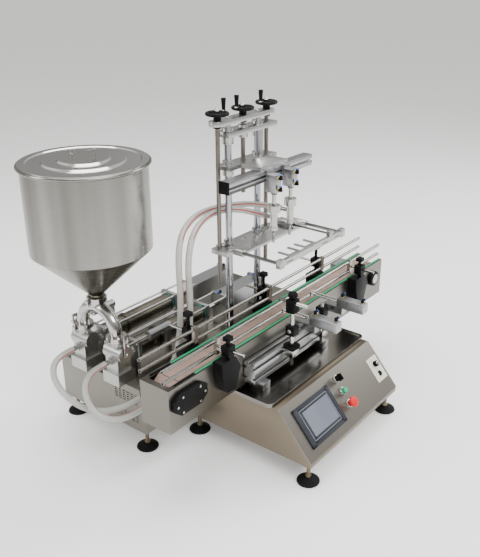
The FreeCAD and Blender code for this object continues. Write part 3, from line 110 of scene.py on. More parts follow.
class Paint:
    """One finish: a material with a Principled shader, and the nodes that vary it."""

    def __init__(self, name, colour, **fixed):
        self.material = bpy.data.materials.new(name)
        self.material.use_nodes = True
        self.tree = self.material.node_tree
        self.tree.nodes.clear()
        self.shader = self.tree.nodes.new("ShaderNodeBsdfPrincipled")
        out = self.tree.nodes.new("ShaderNodeOutputMaterial")
        self.tree.links.new(self.shader.outputs[0], out.inputs[0])
        self.shader.inputs["Base Color"].default_value = (*colour, 1)
        for socket, value in fixed.items():
            self.shader.inputs[socket.replace("_", " ")].default_value = value

    def node(self, kind, values=(), out=0, **settings):
        """A node of a type, with its settings first and then its sockets' values or links."""
        node = self.tree.nodes.new(kind)
        for name, value in settings.items():
            setattr(node, name, value)
        sockets = values if isinstance(values, dict) else dict(enumerate(values))
        for socket, value in sockets.items():
            if isinstance(value, Tone):
                self.tree.links.new(value.socket, node.inputs[socket])
            else:
                node.inputs[socket].default_value = value
        return Tone(self, node.outputs[out])

    def mix(self, factor, first, second):
        """One colour over another by a mask."""
        first, second = [(*c, 1) if isinstance(c, tuple) else c for c in (first, second)]
        return self.node("ShaderNodeMix", {0: factor, 6: first, 7: second}, out=2, data_type="RGBA")

    def place(self, scale=(1, 1, 1)):
        """Object coordinates, stretched."""
        seat = self.node("ShaderNodeTexCoord", out="Object")
        return self.node("ShaderNodeMapping", {0: seat, "Scale": scale})

    def noise(self, size, stretch=(1, 1, 1), detail=3, rough=0.5):
        """Noise with features of about a size, in metres, drawn out along an axis."""
        spot = self.place(tuple(s / size for s in stretch))
        return self.node("ShaderNodeTexNoise", {"Vector": spot, "Scale": 1, "Detail": detail,
                                                "Roughness": rough})

    def feed(self, **sockets):
        """Link tones into the shader."""
        for name, tone in sockets.items():
            self.tree.links.new(tone.socket, self.shader.inputs[name.replace("_", " ")])
        return self.material

    def bump(self, height, depth, strength=1.0):
        """A small relief fed into the shader's normal."""
        relief = self.node("ShaderNodeBump", {"Strength": strength, "Distance": depth, "Height": height})
        return self.feed(Normal=relief)


MIDDLE_Y = -0.1365


def at(x, y, z):
    """A place given in millimetres from the console's middle and the belt's middle."""
    return Vector((x / 1000, y / 1000 + MIDDLE_Y, z / 1000))


def shown(name, mesh, material, body, smooth=40, parts=()):
    """Put a finished mesh in the scene, riding on a body, in place of any plain pieces."""
    piece = bpy.data.objects.new(name, mesh)
    bpy.context.scene.collection.objects.link(piece)
    mesh.materials.append(material)
    mesh.shade_smooth()
    mesh.set_sharp_from_angle(angle=math.radians(smooth))
    if body:
        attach(piece, body)
    if parts:
        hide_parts(*parts)
    return piece


def centre_line(name, route):
    """The smooth line of a tube: a NURBS spline on its route, read back as points."""
    curve = bpy.data.curves.new(name, "CURVE")
    curve.dimensions = "3D"
    spline = curve.splines.new("NURBS")
    spline.points.add(len(route) - 1)
    for point, spot in zip(spline.points, route):
        point.co = (*spot, 1)
    spline.order_u = 3
    spline.use_endpoint_u = True
    spline.resolution_u = 12
    holder = bpy.data.objects.new(name, curve)
    mesh = bpy.data.meshes.new_from_object(holder)
    line = [vertex.co.copy() for vertex in mesh.vertices]
    bpy.data.objects.remove(holder)
    bpy.data.meshes.remove(mesh)
    bpy.data.curves.remove(curve)
    return line


def even_points(line, step):
    """The same line with points an even step apart."""
    lengths = [0]
    for a, b in zip(line, line[1:]):
        lengths.append(lengths[-1] + (b - a).length)
    count = max(2, round(lengths[-1] / step))
    points, index = [], 0
    for number in range(count + 1):
        along = lengths[-1] * number / count
        while index < len(lengths) - 2 and lengths[index + 1] < along:
            index += 1
        share = (along - lengths[index]) / max(lengths[index + 1] - lengths[index], 1e-9)
        points.append(line[index].lerp(line[index + 1], min(share, 1)))
    return points


HOSE_R = 0.011
HOSE_SIDES = 16
RIPPLE = 0.0002
HELIX = 0.0042


def hose_mesh(name, line, start):
    """A closed, finely rippled tube on a line, its UV running round it and along it in metres."""
    shape = bmesh.new()
    chart = shape.loops.layers.uv.new("hose")
    across = None
    rings, along = [], [start]
    for index, spot in enumerate(line):
        ahead = (line[min(index + 1, len(line) - 1)] - line[max(index - 1, 0)]).normalized()
        if across is None:
            across = ahead.orthogonal().normalized()
        across = (across - ahead * across.dot(ahead)).normalized()
        other = ahead.cross(across)
        size = HOSE_R - RIPPLE + RIPPLE * (index % 2)
        turns = [2 * math.pi * side / HOSE_SIDES for side in range(HOSE_SIDES)]
        rings.append([shape.verts.new(spot + (across * math.cos(turn) + other * math.sin(turn)) * size)
                      for turn in turns])
        if index:
            along.append(along[-1] + (spot - line[index - 1]).length)
    for index, (near, far) in enumerate(zip(rings, rings[1:])):
        for k in range(HOSE_SIDES):
            after = (k + 1) % HOSE_SIDES
            face = shape.faces.new((near[k], near[after], far[after], far[k]))
            for loop, (u, v) in zip(face.loops, ((k, 0), (k + 1, 0), (k + 1, 1), (k, 1))):
                loop[chart].uv = (u / HOSE_SIDES, along[index + v])
    shape.faces.new(list(reversed(rings[0])))
    shape.faces.new(rings[-1])
    mesh = bpy.data.meshes.new(name)
    shape.to_mesh(mesh)
    shape.free()
    return mesh


hose_paint = Paint("clear_hose", (0.80, 0.82, 0.77), Roughness=0.28, IOR=1.45, Coat_Weight=0.3,
                   Coat_Roughness=0.1)
hose_chart = hose_paint.node("ShaderNodeUVMap", uv_map="hose")
hose_round = hose_paint.node("ShaderNodeSeparateXYZ", {0: hose_chart})
hose_along = hose_round.output(1)
helix_wave = ((hose_along / HELIX + hose_round) * (2 * math.pi)).sine()
helix_ring = (helix_wave > 0.55)
stripe = ((hose_round * 2 * (2 * math.pi)).sine() > 0.93)
tint = hose_paint.mix(hose_paint.noise(0.02), (0.50, 0.51, 0.455), (0.66, 0.665, 0.615))
ringed = hose_paint.mix(helix_ring * 0.9, tint, (0.34, 0.36, 0.33))
striped = hose_paint.mix(stripe, ringed, (0.42, 0.02, 0.025))
hose_paint.feed(Base_Color=striped, Alpha=(stripe + helix_ring * 0.3 + 0.66).clamped())
hose_paint.bump(helix_wave, 0.0004, 0.6)

HOSES = {
    "front": [(-545, 329, 345), (-592, 329, 345), (-636, 320, 334), (-666, 298, 308), (-679, 264, 276),
              (-672, 230, 246), (-645, 200, 226), (-606, 179, 220), (-564, 166, 226), (-520, 158, 235),
              (-474, 152, 245), (-428, 146, 262), (-384, 140, 292), (-352, 135, 336), (-335, 132, 390),
              (-327, 130, 452), (-323, 129, 516), (-322, 128, 582), (-324, 129, 640), (-321, 131, 692),
              (-308, 136, 734), (-284, 145, 770), (-250, 154, 796), (-208, 162, 810), (-164, 168, 816),
              (-120, 168, 817), (-82, 162, 815), (-52, 145, 812), (-31, 117, 808), (-20, 82, 803),
              (-20, 40.3, 803)],
    "rear": [(-545, 499, 345), (-592, 499, 345), (-638, 489, 334), (-668, 460, 313), (-684, 416, 290),
             (-686, 368, 268), (-678, 320, 250), (-660, 276, 240), (-634, 238, 238), (-600, 208, 244),
             (-560, 189, 252), (-515, 180, 260), (-470, 175, 270), (-428, 169, 290), (-394, 161, 324),
             (-370, 155, 370), (-357, 152, 426), (-351, 150, 486), (-348, 148, 548), (-346, 149, 608),
             (-347, 150, 666), (-343, 153, 718), (-331, 158, 758), (-306, 167, 790), (-270, 177, 808),
             (-226, 188, 818), (-180, 195, 822), (-132, 194, 823), (-86, 185, 822), (-44, 172, 820),
             (-11, 160, 817), (15, 149.4, 814), (36.5, 133.5, 811), (55.5, 114.5, 807.5),
             (70, 92, 804.5), (78, 67.3, 803), (78, 40.3, 803)],
}
BEND_LOW, RISE_TOP = 0.40, 0.77
for name, route in HOSES.items():
    line = even_points(centre_line("hose_" + name, [at(*spot) for spot in route]), HELIX / 2)
    split = next(i for i, spot in enumerate(line) if spot.z > RISE_TOP)
    travelled = 0
    for half, stretch in (("lower", line[:split + 1]), ("upper", line[split:])):
        title = f"hose_{name}_{half}"
        piece = shown(title, hose_mesh(title, stretch, travelled), hose_paint.material, None)
        if half == "lower":
            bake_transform(piece)
            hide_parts("hose_" + name)
        else:
            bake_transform(piece)
        travelled = sum((b - a).length for a, b in zip(stretch, stretch[1:]))
        "taut" if half == "upper" else "loose"

# Floor, lights and sky: a plain pale floor under soft studio light, with darker sides to the sky so
# that the steel has something to mirror. None of them is part of the machine.
FLOOR_HALF = 60
floor_shape = bmesh.new()
bmesh.ops.create_grid(floor_shape, x_segments=1, y_segments=1, size=FLOOR_HALF)
floor_mesh = bpy.data.meshes.new("floor")
floor_shape.to_mesh(floor_mesh)
floor_shape.free()
floor = bpy.data.objects.new("floor", floor_mesh)
floor_paint = Paint("floor_paint", (0.93, 0.93, 0.93), Roughness=0.9, Specular_IOR_Level=0.1,
                    Emission_Color=(1, 1, 1, 1), Emission_Strength=0.16)
floor_mesh.materials.append(floor_paint.material)
bpy.context.scene.collection.objects.link(floor)

sky = bpy.data.worlds.new("studio")
bpy.context.scene.world = sky
sky.use_nodes = True
sky_tree = sky.node_tree
sky_tree.nodes.clear()


def sky_node(kind, *values, out=0, stops=(), **settings):
    """A node of the sky: its settings, then its sockets' values or links."""
    node = sky_tree.nodes.new(kind)
    for name, value in settings.items():
        setattr(node, name, value)
    for index, (place, grey) in enumerate(stops):
        ramp = node.color_ramp.elements
        element = ramp[index] if index < 2 else ramp.new(place)
        element.position = place
        element.color = (grey, grey * 0.985, grey * 0.96, 1)
    for socket, value in zip(node.inputs, values):
        if hasattr(value, "is_output"):
            sky_tree.links.new(value, socket)
        else:
            socket.default_value = value
    return node.outputs[out] if len(node.outputs) else node


sky_seat = sky_node("ShaderNodeTexCoord", out="Generated")
sky_x, sky_y, sky_z = sky_node("ShaderNodeSeparateXYZ", sky_seat).node.outputs
sky_turn = sky_node("ShaderNodeMath", sky_y, sky_x, operation="ARCTAN2")
sky_round = sky_node("ShaderNodeMath", sky_turn, 1 / (2 * math.pi), 0.5, operation="MULTIPLY_ADD")
sky_high = sky_node("ShaderNodeMath", sky_z, 0.5, 0.5, operation="MULTIPLY_ADD")
SKY_ROUND = [(0.0, 0.35), (1.0, 0.35), (0.05, 0.95), (0.11, 0.95), (0.16, 0.18), (0.24, 0.12),
             (0.27, 0.85), (0.33, 0.90), (0.36, 0.25), (0.46, 0.16), (0.52, 0.80), (0.60, 0.75),
             (0.64, 0.15), (0.70, 0.12), (0.74, 1.15), (0.81, 1.10), (0.85, 0.20), (0.93, 0.16)]
SKY_HIGH = [(0.0, 0.55), (1.0, 1.0), (0.49, 0.45), (0.53, 0.22), (0.60, 0.45), (0.72, 0.9), (0.85, 1.3)]
SKY_SHARE, SKY_STRENGTH = 0.55, 0.95
sky_bands = sky_node("ShaderNodeValToRGB", sky_round, stops=SKY_ROUND)
sky_rise = sky_node("ShaderNodeValToRGB", sky_high, stops=SKY_HIGH)
sky_mix = sky_node("ShaderNodeMix", data_type="RGBA", out=2)
sky_mix.node.inputs[0].default_value = SKY_SHARE
sky_tree.links.new(sky_bands, sky_mix.node.inputs[6])
sky_tree.links.new(sky_rise, sky_mix.node.inputs[7])
sky_light = sky_node("ShaderNodeBackground", sky_mix, SKY_STRENGTH)
sky_node("ShaderNodeOutputWorld", sky_light)

AIM = Vector((0, 0, 0.5))
for name, spot, size, watts in (("key_light", (-1.2, -3.2, 3.4), (2.6, 1.6), 165),
                                ("fill_light", (3.4, -1.6, 2.6), (1.6, 2.4), 95),
                                ("top_light", (0.2, 0.6, 4.2), (3.2, 2.6), 160),
                                ("rim_light", (-3.2, 2.2, 2.4), (1.2, 2.4), 70)):
    light = bpy.data.lights.new(name, "AREA")
    light.shape = "RECTANGLE"
    light.size, light.size_y = size
    light.energy = watts
    lamp = bpy.data.objects.new(name, light)
    lamp.location = spot
    lamp.rotation_euler = (AIM - Vector(spot)).to_track_quat("-Z", "Y").to_euler()
    bpy.context.scene.collection.objects.link(lamp)


# Levelling feet: a moulded black pad faced with rubber on a threaded stem of yellow-plated steel, with
# a nut on the pad and a lock nut that holds the stem in the cabinet's floor.
def brushed_steel(name, colour, grain=(1, 30, 30), rough=0.33, spread=0.12):
    """Satin metal: fine scratches along one axis, faint clouds of colour and of polish."""
    paint = Paint(name, colour, Metallic=1.0, Roughness=rough)
    lines = paint.noise(0.05, grain, detail=4, rough=0.7)
    cloud = paint.noise(0.16, detail=2)
    smear = paint.noise(0.03, detail=3)
    dark = tuple(c * 0.90 for c in colour)
    light = tuple(min(1, c * 1.06) for c in colour)
    paint.feed(Base_Color=paint.mix(cloud * 0.7 + lines * 0.3, dark, light),
               Roughness=(rough - spread / 2) + (lines * 0.6 + smear * 0.4) * spread)
    return paint.bump(lines, 0.00004, 0.35)


def moulded(name, colour, rough=0.45, grain=0.0012, relief=0.0001):
    """Moulded plastic: a fine spark-eroded grain and slight scuffing."""
    paint = Paint(name, colour, Roughness=rough, Specular_IOR_Level=0.10)
    fine = paint.noise(grain, detail=2)
    scuff = paint.noise(0.03, detail=4)
    light = tuple(min(1, c * 1.6 + 0.003) for c in colour)
    paint.feed(Base_Color=paint.mix(scuff * 0.6 + fine * 0.2, colour, light),
               Roughness=(rough - 0.07) + scuff * 0.16)
    return paint.bump(fine, relief, 0.3)


def turned_mesh(name, profile, centre, axis="z", sides=48):
    """A mesh spun from a profile of (radius, distance along the axis) round a centre."""
    shape = bmesh.new()
    points = [shape.verts.new((r, 0, h)) for r, h in profile]
    edges = [shape.edges.new(pair) for pair in zip(points, points[1:])]
    bmesh.ops.spin(shape, geom=points + edges, cent=(0, 0, 0), axis=(0, 0, 1), angle=2 * math.pi,
                   steps=sides, use_merge=True)
    bmesh.ops.remove_doubles(shape, verts=shape.verts, dist=1e-6)
    bmesh.ops.recalc_face_normals(shape, faces=shape.faces)
    tip = {"z": Matrix(), "x": Matrix.Rotation(math.pi / 2, 4, "Y")}
    turn = tip[axis] if isinstance(axis, str) else axis
    bmesh.ops.transform(shape, matrix=Matrix.Translation(centre) @ turn, verts=shape.verts)
    mesh = bpy.data.meshes.new(name)
    shape.to_mesh(mesh)
    shape.free()
    return mesh


def joined(name, meshes):
    """One mesh of several."""
    shape = bmesh.new()
    for mesh in meshes:
        shape.from_mesh(mesh)
        bpy.data.meshes.remove(mesh)
    whole = bpy.data.meshes.new(name)
    shape.to_mesh(whole)
    shape.free()
    return whole


PAD = [(0, 0), (0.036, 0), (0.0385, 0.0015), (0.040, 0.004), (0.0385, 0.0075), (0.034, 0.0095),
       (0.027, 0.0125), (0.019, 0.016), (0.0145, 0.0185), (0.013, 0.0195), (0, 0.0195)]
STEM_CORE, STEM_CREST = 0.0062, 0.007
STEM_LOW, THREAD_LOW, STEM_TOP = 0.0185, 0.030, 0.07
STEM_PITCH, STEM_TURNS = 0.0015, 26
FEET = [(x, y) for side in (-1, 1) for x, y in ((side * 270, -337), (side * 270, 150),
                                                (side * 465, 230), (side * 465, 610))]
ridge = [(STEM_CORE, THREAD_LOW)]
for step in range(STEM_TURNS):
    low = THREAD_LOW + step * STEM_PITCH
    ridge += [(STEM_CREST, low + 0.0004), (STEM_CREST, low + 0.0008), (STEM_CORE, low + 0.0012)]
pads, stems = [], []
for x, y in FEET:
    pads.append(turned_mesh("pad", PAD, at(x, y, 0)))
    stems.append(turned_mesh("stem", [(0, STEM_LOW), (STEM_CORE, STEM_LOW), *ridge, (STEM_CORE, STEM_TOP),
                                      (0, STEM_TOP)], at(x, y, 0), sides=24))
    for low, tall, wide in ((0.019, 0.011, 0.0105), (0.069, 0.011, 0.013)):
        stems.append(turned_mesh("nut", [(0, low), (wide * 0.9, low), (wide, low + 0.0015),
                                         (wide, low + tall - 0.0015), (wide * 0.9, low + tall),
                                         (0, low + tall)], at(x, y, 0), sides=6))
rubber = moulded("foot_rubber", (0.005, 0.005, 0.0055), rough=0.6, grain=0.0007, relief=0.0002)
zinc = brushed_steel("yellow_zinc", (0.34, 0.28, 0.19), grain=(1, 1, 6), rough=0.32)
shown("foot_pads", joined("foot_pads", pads), rubber, "root", parts=["levelling_feet"])
shown("foot_stems", joined("foot_stems", stems), zinc, "root", smooth=30)

# Operator's console: a folded and welded cabinet of brushed stainless sheet, whose sloped front
# carries the control panel. Its folds are slightly rounded and it stands on four of the feet.
nodes = frame["nodes"]


def finish_node(material, *names):
    """Give CAD nodes a finish in place of their plain one."""
    for name in names:
        mesh = nodes[name].data
        mesh.materials.clear()
        mesh.materials.append(material)


EASE = 0.0008


def eased(*names):
    """Finished CAD pieces with their sharp edges broken, put in place of the plain ones."""
    for name in names:
        plain_mesh = nodes[name].data
        shape = bmesh.new()
        shape.from_mesh(plain_mesh)
        bmesh.ops.remove_doubles(shape, verts=shape.verts, dist=1e-5)
        bmesh.ops.dissolve_limit(shape, angle_limit=math.radians(1), verts=shape.verts, edges=shape.edges)
        edges = [e for e in shape.edges if len(e.link_faces) == 2 and e.calc_length() > 2 * EASE
                 and e.calc_face_angle(0) > math.radians(35)]
        bmesh.ops.bevel(shape, geom=edges, offset=EASE, segments=2, affect="EDGES", profile=0.5, material=-1,
                        clamp_overlap=True)
        bmesh.ops.triangulate(shape, faces=[f for f in shape.faces if len(f.verts) > 4])
        mesh = bpy.data.meshes.new(name + "_eased")
        shape.to_mesh(mesh)
        shape.free()
        record = frame["record"]
        owner = next(body for body, held in record["behaviour"]["bodies"].items() if name in held)
        shown(name + "_eased", mesh, plain_mesh.materials[0], owner, smooth=30, parts=[name])


# The cabinet's sheet is given a darker colour than the same sheet on the sloped panel: painted shade on its
# upright sides.
console_shaded_steel = brushed_steel("console_shaded_steel", (0.185, 0.155, 0.115), grain=(1, 3, 40), rough=0.34)
finish_node(console_shaded_steel, "console_cabinet")
eased("console_cabinet")
panel_steel = brushed_steel("panel_steel", (0.27, 0.252, 0.222), grain=(2, 40, 40), rough=0.36)
finish_node(panel_steel, "control_panel")
PANEL_FOOT_Y, PANEL_FOOT_Z = -363, 98
SLOPE = math.atan2(255 - PANEL_FOOT_Z, -226 - PANEL_FOOT_Y)
PANEL_TURN = Matrix.Rotation(SLOPE, 4, "X")


def on_panel(x, v, w=0.0):
    """A place on the sloped panel: across, up the slope and out from its back face."""
    return at(x, PANEL_FOOT_Y + v * math.cos(SLOPE) - w * math.sin(SLOPE),
              PANEL_FOOT_Z + v * math.sin(SLOPE) + w * math.cos(SLOPE))


# Touch screen: a dark grey moulded case clamped in the panel's cut-out, with a thin light line round
# the display. Its glass is a pale blue-grey when off.
def block_mesh(name, low, high, edge=0.001, segments=2, turn=None):
    """A block between two corners with its edges rounded."""
    shape = bmesh.new()
    bmesh.ops.create_cube(shape, size=1)
    low, high = Vector(low), Vector(high)
    bmesh.ops.scale(shape, vec=high - low, verts=shape.verts)
    bmesh.ops.translate(shape, vec=(low + high) / 2, verts=shape.verts)
    if edge:
        bmesh.ops.bevel(shape, geom=shape.edges[:], offset=edge, segments=segments, affect="EDGES",
                        profile=0.5, material=-1)
    if turn is not None:
        bmesh.ops.transform(shape, matrix=turn, verts=shape.verts)
    mesh = bpy.data.meshes.new(name)
    shape.to_mesh(mesh)
    shape.free()
    return mesh


def panel_block(name, x, v, w, wide, tall, thick, edge=0.001):
    """A rounded block lying on the sloped panel, from its lowest corner."""
    seat = Matrix.Translation(on_panel(x, v, w)) @ PANEL_TURN
    return block_mesh(name, (0, 0, 0), (wide / 1000, tall / 1000, thick / 1000), edge, turn=seat)


PANEL_FACE = 3
RIM_HIGH, STEP_HIGH, LINE_AT = 6, 4.4, 7.2
rims = [panel_block("rim", x, v, PANEL_FACE, wide, tall, RIM_HIGH, 0.0015)
        for x, v, wide, tall in ((-254, 31, 214, 9), (-254, 168, 214, 9), (-254, 31, 20, 146),
                                 (-60, 31, 20, 146))]
rims += [panel_block("step", x, v, PANEL_FACE, wide, tall, STEP_HIGH, 0.0006)
         for x, v, wide, tall in ((-236, 39, 178, 20), (-236, 151, 178, 20), (-240, 39, 24, 130),
                                  (-66, 39, 16, 130))]
bezel = moulded("screen_bezel", (0.026, 0.028, 0.033), rough=0.38)
shown("screen_frame", joined("screen_frame", rims), bezel, "root", parts=["touch_screen"])
shown("screen_case", panel_block("screen_case", -240, 45, -29, 186, 118, 31), bezel, "root")
screen_line = Paint("screen_line", (0.28, 0.31, 0.37), Roughness=0.4)
screen_line.bump(screen_line.noise(0.001), 0.00005, 0.2)
lines = [panel_block("line", x, v, LINE_AT, wide, tall, 0.5, 0)
         for x, v, wide, tall in ((-230, 49, 168, 1.4), (-230, 159, 168, 1.4), (-230, 49, 1.4, 111),
                                  (-63.4, 49, 1.4, 111))]
shown("screen_lines", joined("screen_lines", lines), screen_line.material, "root")
glass = Paint("screen_glass", (0.30, 0.32, 0.38), Roughness=0.16, Coat_Weight=0.6, Coat_Roughness=0.05)
# Soft patches of lighter blue-grey in the glass's colour: a painted sheen of reflected light; the same
# patches vary its roughness.
painted_sheen = glass.noise(0.12, (1, 0.6, 1), detail=1)
glass.feed(Base_Color=glass.mix(painted_sheen, (0.11, 0.12, 0.155), (0.19, 0.205, 0.25)),
           Roughness=0.13 + painted_sheen * 0.1)
shown("screen_glass", panel_block("screen_glass", -216, 59, 3.2, 150, 92, 3.8, 0), glass.material, "root")

# Buttons: chromed collars clamp the switches in the panel. In them move a red mushroom with a soft
# edge, a green cap and a black selector with a raised grip. A speed dial and a power rocker sit on a
# pale plate with red marks at the panel's right.
bright = Paint("bright_metal", (0.46, 0.45, 0.43), Metallic=1.0, Roughness=0.16)
smudge = bright.noise(0.012, detail=4)
bright.feed(Base_Color=bright.mix(smudge, (0.38, 0.37, 0.35), (0.54, 0.53, 0.51)),
            Roughness=0.08 + smudge * 0.16)


def panel_turned(name, profile, x, v, sides=40):
    """A turned piece standing on the sloped panel; its profile is in millimetres."""
    return turned_mesh(name, [(r / 1000, h / 1000) for r, h in profile], on_panel(x, v), PANEL_TURN, sides)


STOP_AT, START_AT, MODE_AT = (8, 72), (12, 122), (17, 170)
COLLAR = [(11.6, 5), (11.6, 16), (13.2, 16), (14.6, 15), (15, 13.6), (15, 7), (14.2, 6.4), (14.8, 5.6),
          (14.8, 3), (11.6, 3), (11.6, 5)]
collars = [panel_turned("collar", COLLAR, *spot) for spot in (STOP_AT, START_AT, MODE_AT)]
shown("button_collars", joined("button_collars", collars), bright.material, "root",
      parts=["panel_trim"])
label = Paint("label_plate", (0.66, 0.69, 0.56), Roughness=0.5)
label.feed(Base_Color=label.mix(label.noise(0.02), (0.62, 0.65, 0.52), (0.70, 0.73, 0.61)))
shown("speed_plate", panel_block("speed_plate", 221, 55, PANEL_FACE, 67, 96, 1.9, 0.0005), label.material,
      "root")
DIAL_X, DIAL_V = 256, 121
MARK_LOW, MARK_HIGH, MARK_RING = 4.8, 5.1, 16.5
red_line = Paint("red_line", (0.65, 0.10, 0.08), Roughness=0.5)
red_line.feed(Base_Color=red_line.mix(red_line.noise(0.004), (0.58, 0.10, 0.08), (0.72, 0.16, 0.12)))
marks = [panel_block("mark", x, v, MARK_LOW, wide, tall, 0.3, 0)
         for x, v, wide, tall in ((230, 143, 49, 1.2), (232, 138, 42, 0.9), (243, 96, 22, 1),
                                  (243, 68, 22, 1))]
for step in range(9):
    turn = math.radians(-130 + step * 32.5)
    marks.append(panel_turned("tick", [(0, MARK_LOW), (0.8, MARK_LOW), (0.8, MARK_HIGH), (0, MARK_HIGH)],
                              DIAL_X + MARK_RING * math.sin(turn), DIAL_V + MARK_RING * math.cos(turn), 8))
shown("speed_marks", joined("speed_marks", marks), red_line.material, "root")

red = Paint("stop_red", (0.56, 0.006, 0.012), Roughness=0.4, Specular_IOR_Level=0.25)
red.feed(Base_Color=red.mix(red.noise(0.02), (0.56, 0.010, 0.010), (0.66, 0.022, 0.018)))
MUSHROOM = [(0, -16), (8, -16), (8, 11), (11, 11), (11, 26), (12.5, 28.5), (17, 30), (19.4, 32), (20, 34.5),
            (19.6, 37), (17.8, 39.8), (14, 42), (8, 43), (0, 43)]
shown("stop_mushroom", panel_turned("stop_mushroom", MUSHROOM, *STOP_AT, 56), red.material, "estop_button",
      parts=["estop_button"])
green = Paint("start_green", (0.03, 0.50, 0.27), Roughness=0.32, Coat_Weight=0.3)
green.feed(Base_Color=green.mix(green.noise(0.01), (0.012, 0.30, 0.15), (0.03, 0.40, 0.21)))
START_CAP = [(0, -16), (8, -16), (8, 11), (11, 11), (11, 27), (10.6, 29.6), (9.4, 30.8), (0, 31)]
shown("start_cap", panel_turned("start_cap", START_CAP, *START_AT), green.material, "start_button",
      parts=["start_button"])
black = moulded("black_moulding", (0.0022, 0.0022, 0.0025), rough=0.46)
MODE_CAP = [(0, -16), (8, -16), (8, 11), (11, 11), (11, 23), (13.4, 23.4), (14, 25), (14, 28.6), (13, 30),
            (0, 30)]
selector = [panel_turned("cap", MODE_CAP, *MODE_AT),
            panel_block("grip", 13.2, 157.5, 29, 7.6, 25, 12.8, 0.002)]
shown("mode_grip", joined("mode_grip", selector), black, "mode_selector",
      parts=["mode_selector"])
DIAL_TEETH, TEETH_RING = 20, 10.6
dial = []
for tooth in range(DIAL_TEETH):
    turn = 2 * math.pi * tooth / DIAL_TEETH
    dial.append(panel_turned("tooth", [(0, 7), (1.3, 7), (1.1, 18), (0, 18)],
                             DIAL_X + TEETH_RING * math.cos(turn), DIAL_V + TEETH_RING * math.sin(turn), 8))
DIAL_BODY = [(0, -12), (4.7, -12), (4.7, 6), (11, 6), (11.2, 8), (10.2, 19.4), (9.2, 20.6), (0, 21)]
dial.append(panel_turned("cap", DIAL_BODY, DIAL_X, DIAL_V))
shown("speed_dial", joined("speed_dial", dial), black, "speed_knob", parts=["speed_knob"])
DIAL_CAP = [(0, 20.4), (6.8, 20.4), (6.8, 21.2), (6, 21.8), (0, 21.9)]
shown("dial_cap", panel_turned("dial_cap", DIAL_CAP, DIAL_X, DIAL_V), bright.material, "speed_knob")
ROCKER = [(0, -0.0068), (0.0105, -0.0068), (0.011, -0.006), (0.011, 0.006), (0.0105, 0.0068), (0, 0.0068)]
rocker = turned_mesh("power_rocker", ROCKER, on_panel(254, 82, 1), "x", 40)
shown("power_rocker", rocker, black, "power_switch", parts=["power_switch"])

# Drip tray: a shallow pan pressed from dark satin stainless and laid on the console, with a rolled rim
# and rounded corners. Its floor carries the beam, the tower and the conveyor's supports.
TRAY_CORNER, TRAY_RIM, TRAY_DEEP = 0.022, 0.004, 0.0075
tray_steel = brushed_steel("tray_steel", (0.20, 0.19, 0.172), grain=(1, 20, 20), rough=0.22)
tray_shape = bmesh.new()
bmesh.ops.create_cube(tray_shape, size=1)
tray_low, tray_high = at(-310, -206, 255), at(310, 195, 270)
bmesh.ops.scale(tray_shape, vec=tray_high - tray_low, verts=tray_shape.verts)
bmesh.ops.translate(tray_shape, vec=(tray_low + tray_high) / 2, verts=tray_shape.verts)
upright = [e for e in tray_shape.edges if abs(e.verts[0].co.z - e.verts[1].co.z) > 0.01]
bmesh.ops.bevel(tray_shape, geom=upright, offset=TRAY_CORNER, segments=8, affect="EDGES", profile=0.5,
                material=-1)
top = [f for f in tray_shape.faces if f.normal.z > 0.9]
bmesh.ops.inset_region(tray_shape, faces=top, thickness=TRAY_RIM)
bmesh.ops.translate(tray_shape, vec=(0, 0, -TRAY_DEEP), verts=list({v for f in top for v in f.verts}))
rim_edges = [e for e in tray_shape.edges if all(abs(v.co.z - tray_high.z) < 1e-5 for v in e.verts)]
bmesh.ops.bevel(tray_shape, geom=rim_edges, offset=0.0012, segments=2, affect="EDGES", profile=0.5,
                material=-1)
tray_mesh = bpy.data.meshes.new("drip_tray")
tray_shape.to_mesh(tray_mesh)
tray_shape.free()
shown("drip_tray", tray_mesh, tray_steel, "root", parts=["console_tray"])

# Pump cabinet: a closed box of brushed stainless sheet on four feet. The cylinders and valves are
# bolted to its top, and two blocks of ventilation slots are punched in its left end.
cabinet_steel = brushed_steel("cabinet_steel", (0.205, 0.195, 0.168), grain=(1, 3, 40), rough=0.34)
finish_node(cabinet_steel, "pump_cabinet")
eased("pump_cabinet")

# Conveyor: a folded stainless frame on supports, brown plastic slats with a seam between each pair,
# and green wear strips on the lips, with a short black one at the left end. The slats run on black
# sprockets, whose bearings sit under screwed covers, and a painted gearmotor drives one shaft.
frame_steel = brushed_steel("frame_steel", (0.19, 0.18, 0.158), grain=(1, 25, 25), rough=0.33)
finish_node(frame_steel, "conveyor_frame")
slat_paint = Paint("slat_plastic", (0.30, 0.20, 0.16), Roughness=0.45)
grain = slat_paint.noise(0.03, (6, 0.4, 1), detail=3)
wear = slat_paint.noise(0.10, (0.4, 1.5, 1), detail=2)
slats = slat_paint.mix(grain * 0.5 + wear * 0.5, (0.22, 0.145, 0.115), (0.38, 0.265, 0.22))
slat_paint.feed(Base_Color=slats, Roughness=0.36 + wear * 0.2)
slat_paint.bump(grain, 0.0002, 0.3)
finish_node(slat_paint.material, "slat_chain")
green_paint = Paint("wear_strip_green", (0.02, 0.47, 0.22), Roughness=0.4)
greens = green_paint.mix(green_paint.noise(0.03), (0.008, 0.28, 0.11), (0.02, 0.40, 0.18))
green_paint.feed(Base_Color=greens)
LIP_TOP, STRIP_Y, STRIP_HALF = 430, 51, 3.5
for side, y, parts in (("front", -STRIP_Y, ["edge_strips"]), ("rear", STRIP_Y, ())):
    near, far = y - STRIP_HALF, y + STRIP_HALF
    strip = block_mesh("strip", at(-506, near, LIP_TOP), at(690, far, LIP_TOP + 3), 0.0008)
    shown("green_strip_" + side, strip, green_paint.material, "root", parts=parts)
    strip = block_mesh("strip", at(-600, near, LIP_TOP), at(-508, far, LIP_TOP + 2.6), 0.0008)
    shown("black_strip_" + side, strip, black, "root")
finish_node(black, "bearing_covers", "drive_sprocket", "idler_sprocket")
eased("bearing_covers")
motor = Paint("motor_paint", (0.20, 0.21, 0.22), Roughness=0.42, Metallic=0.2)
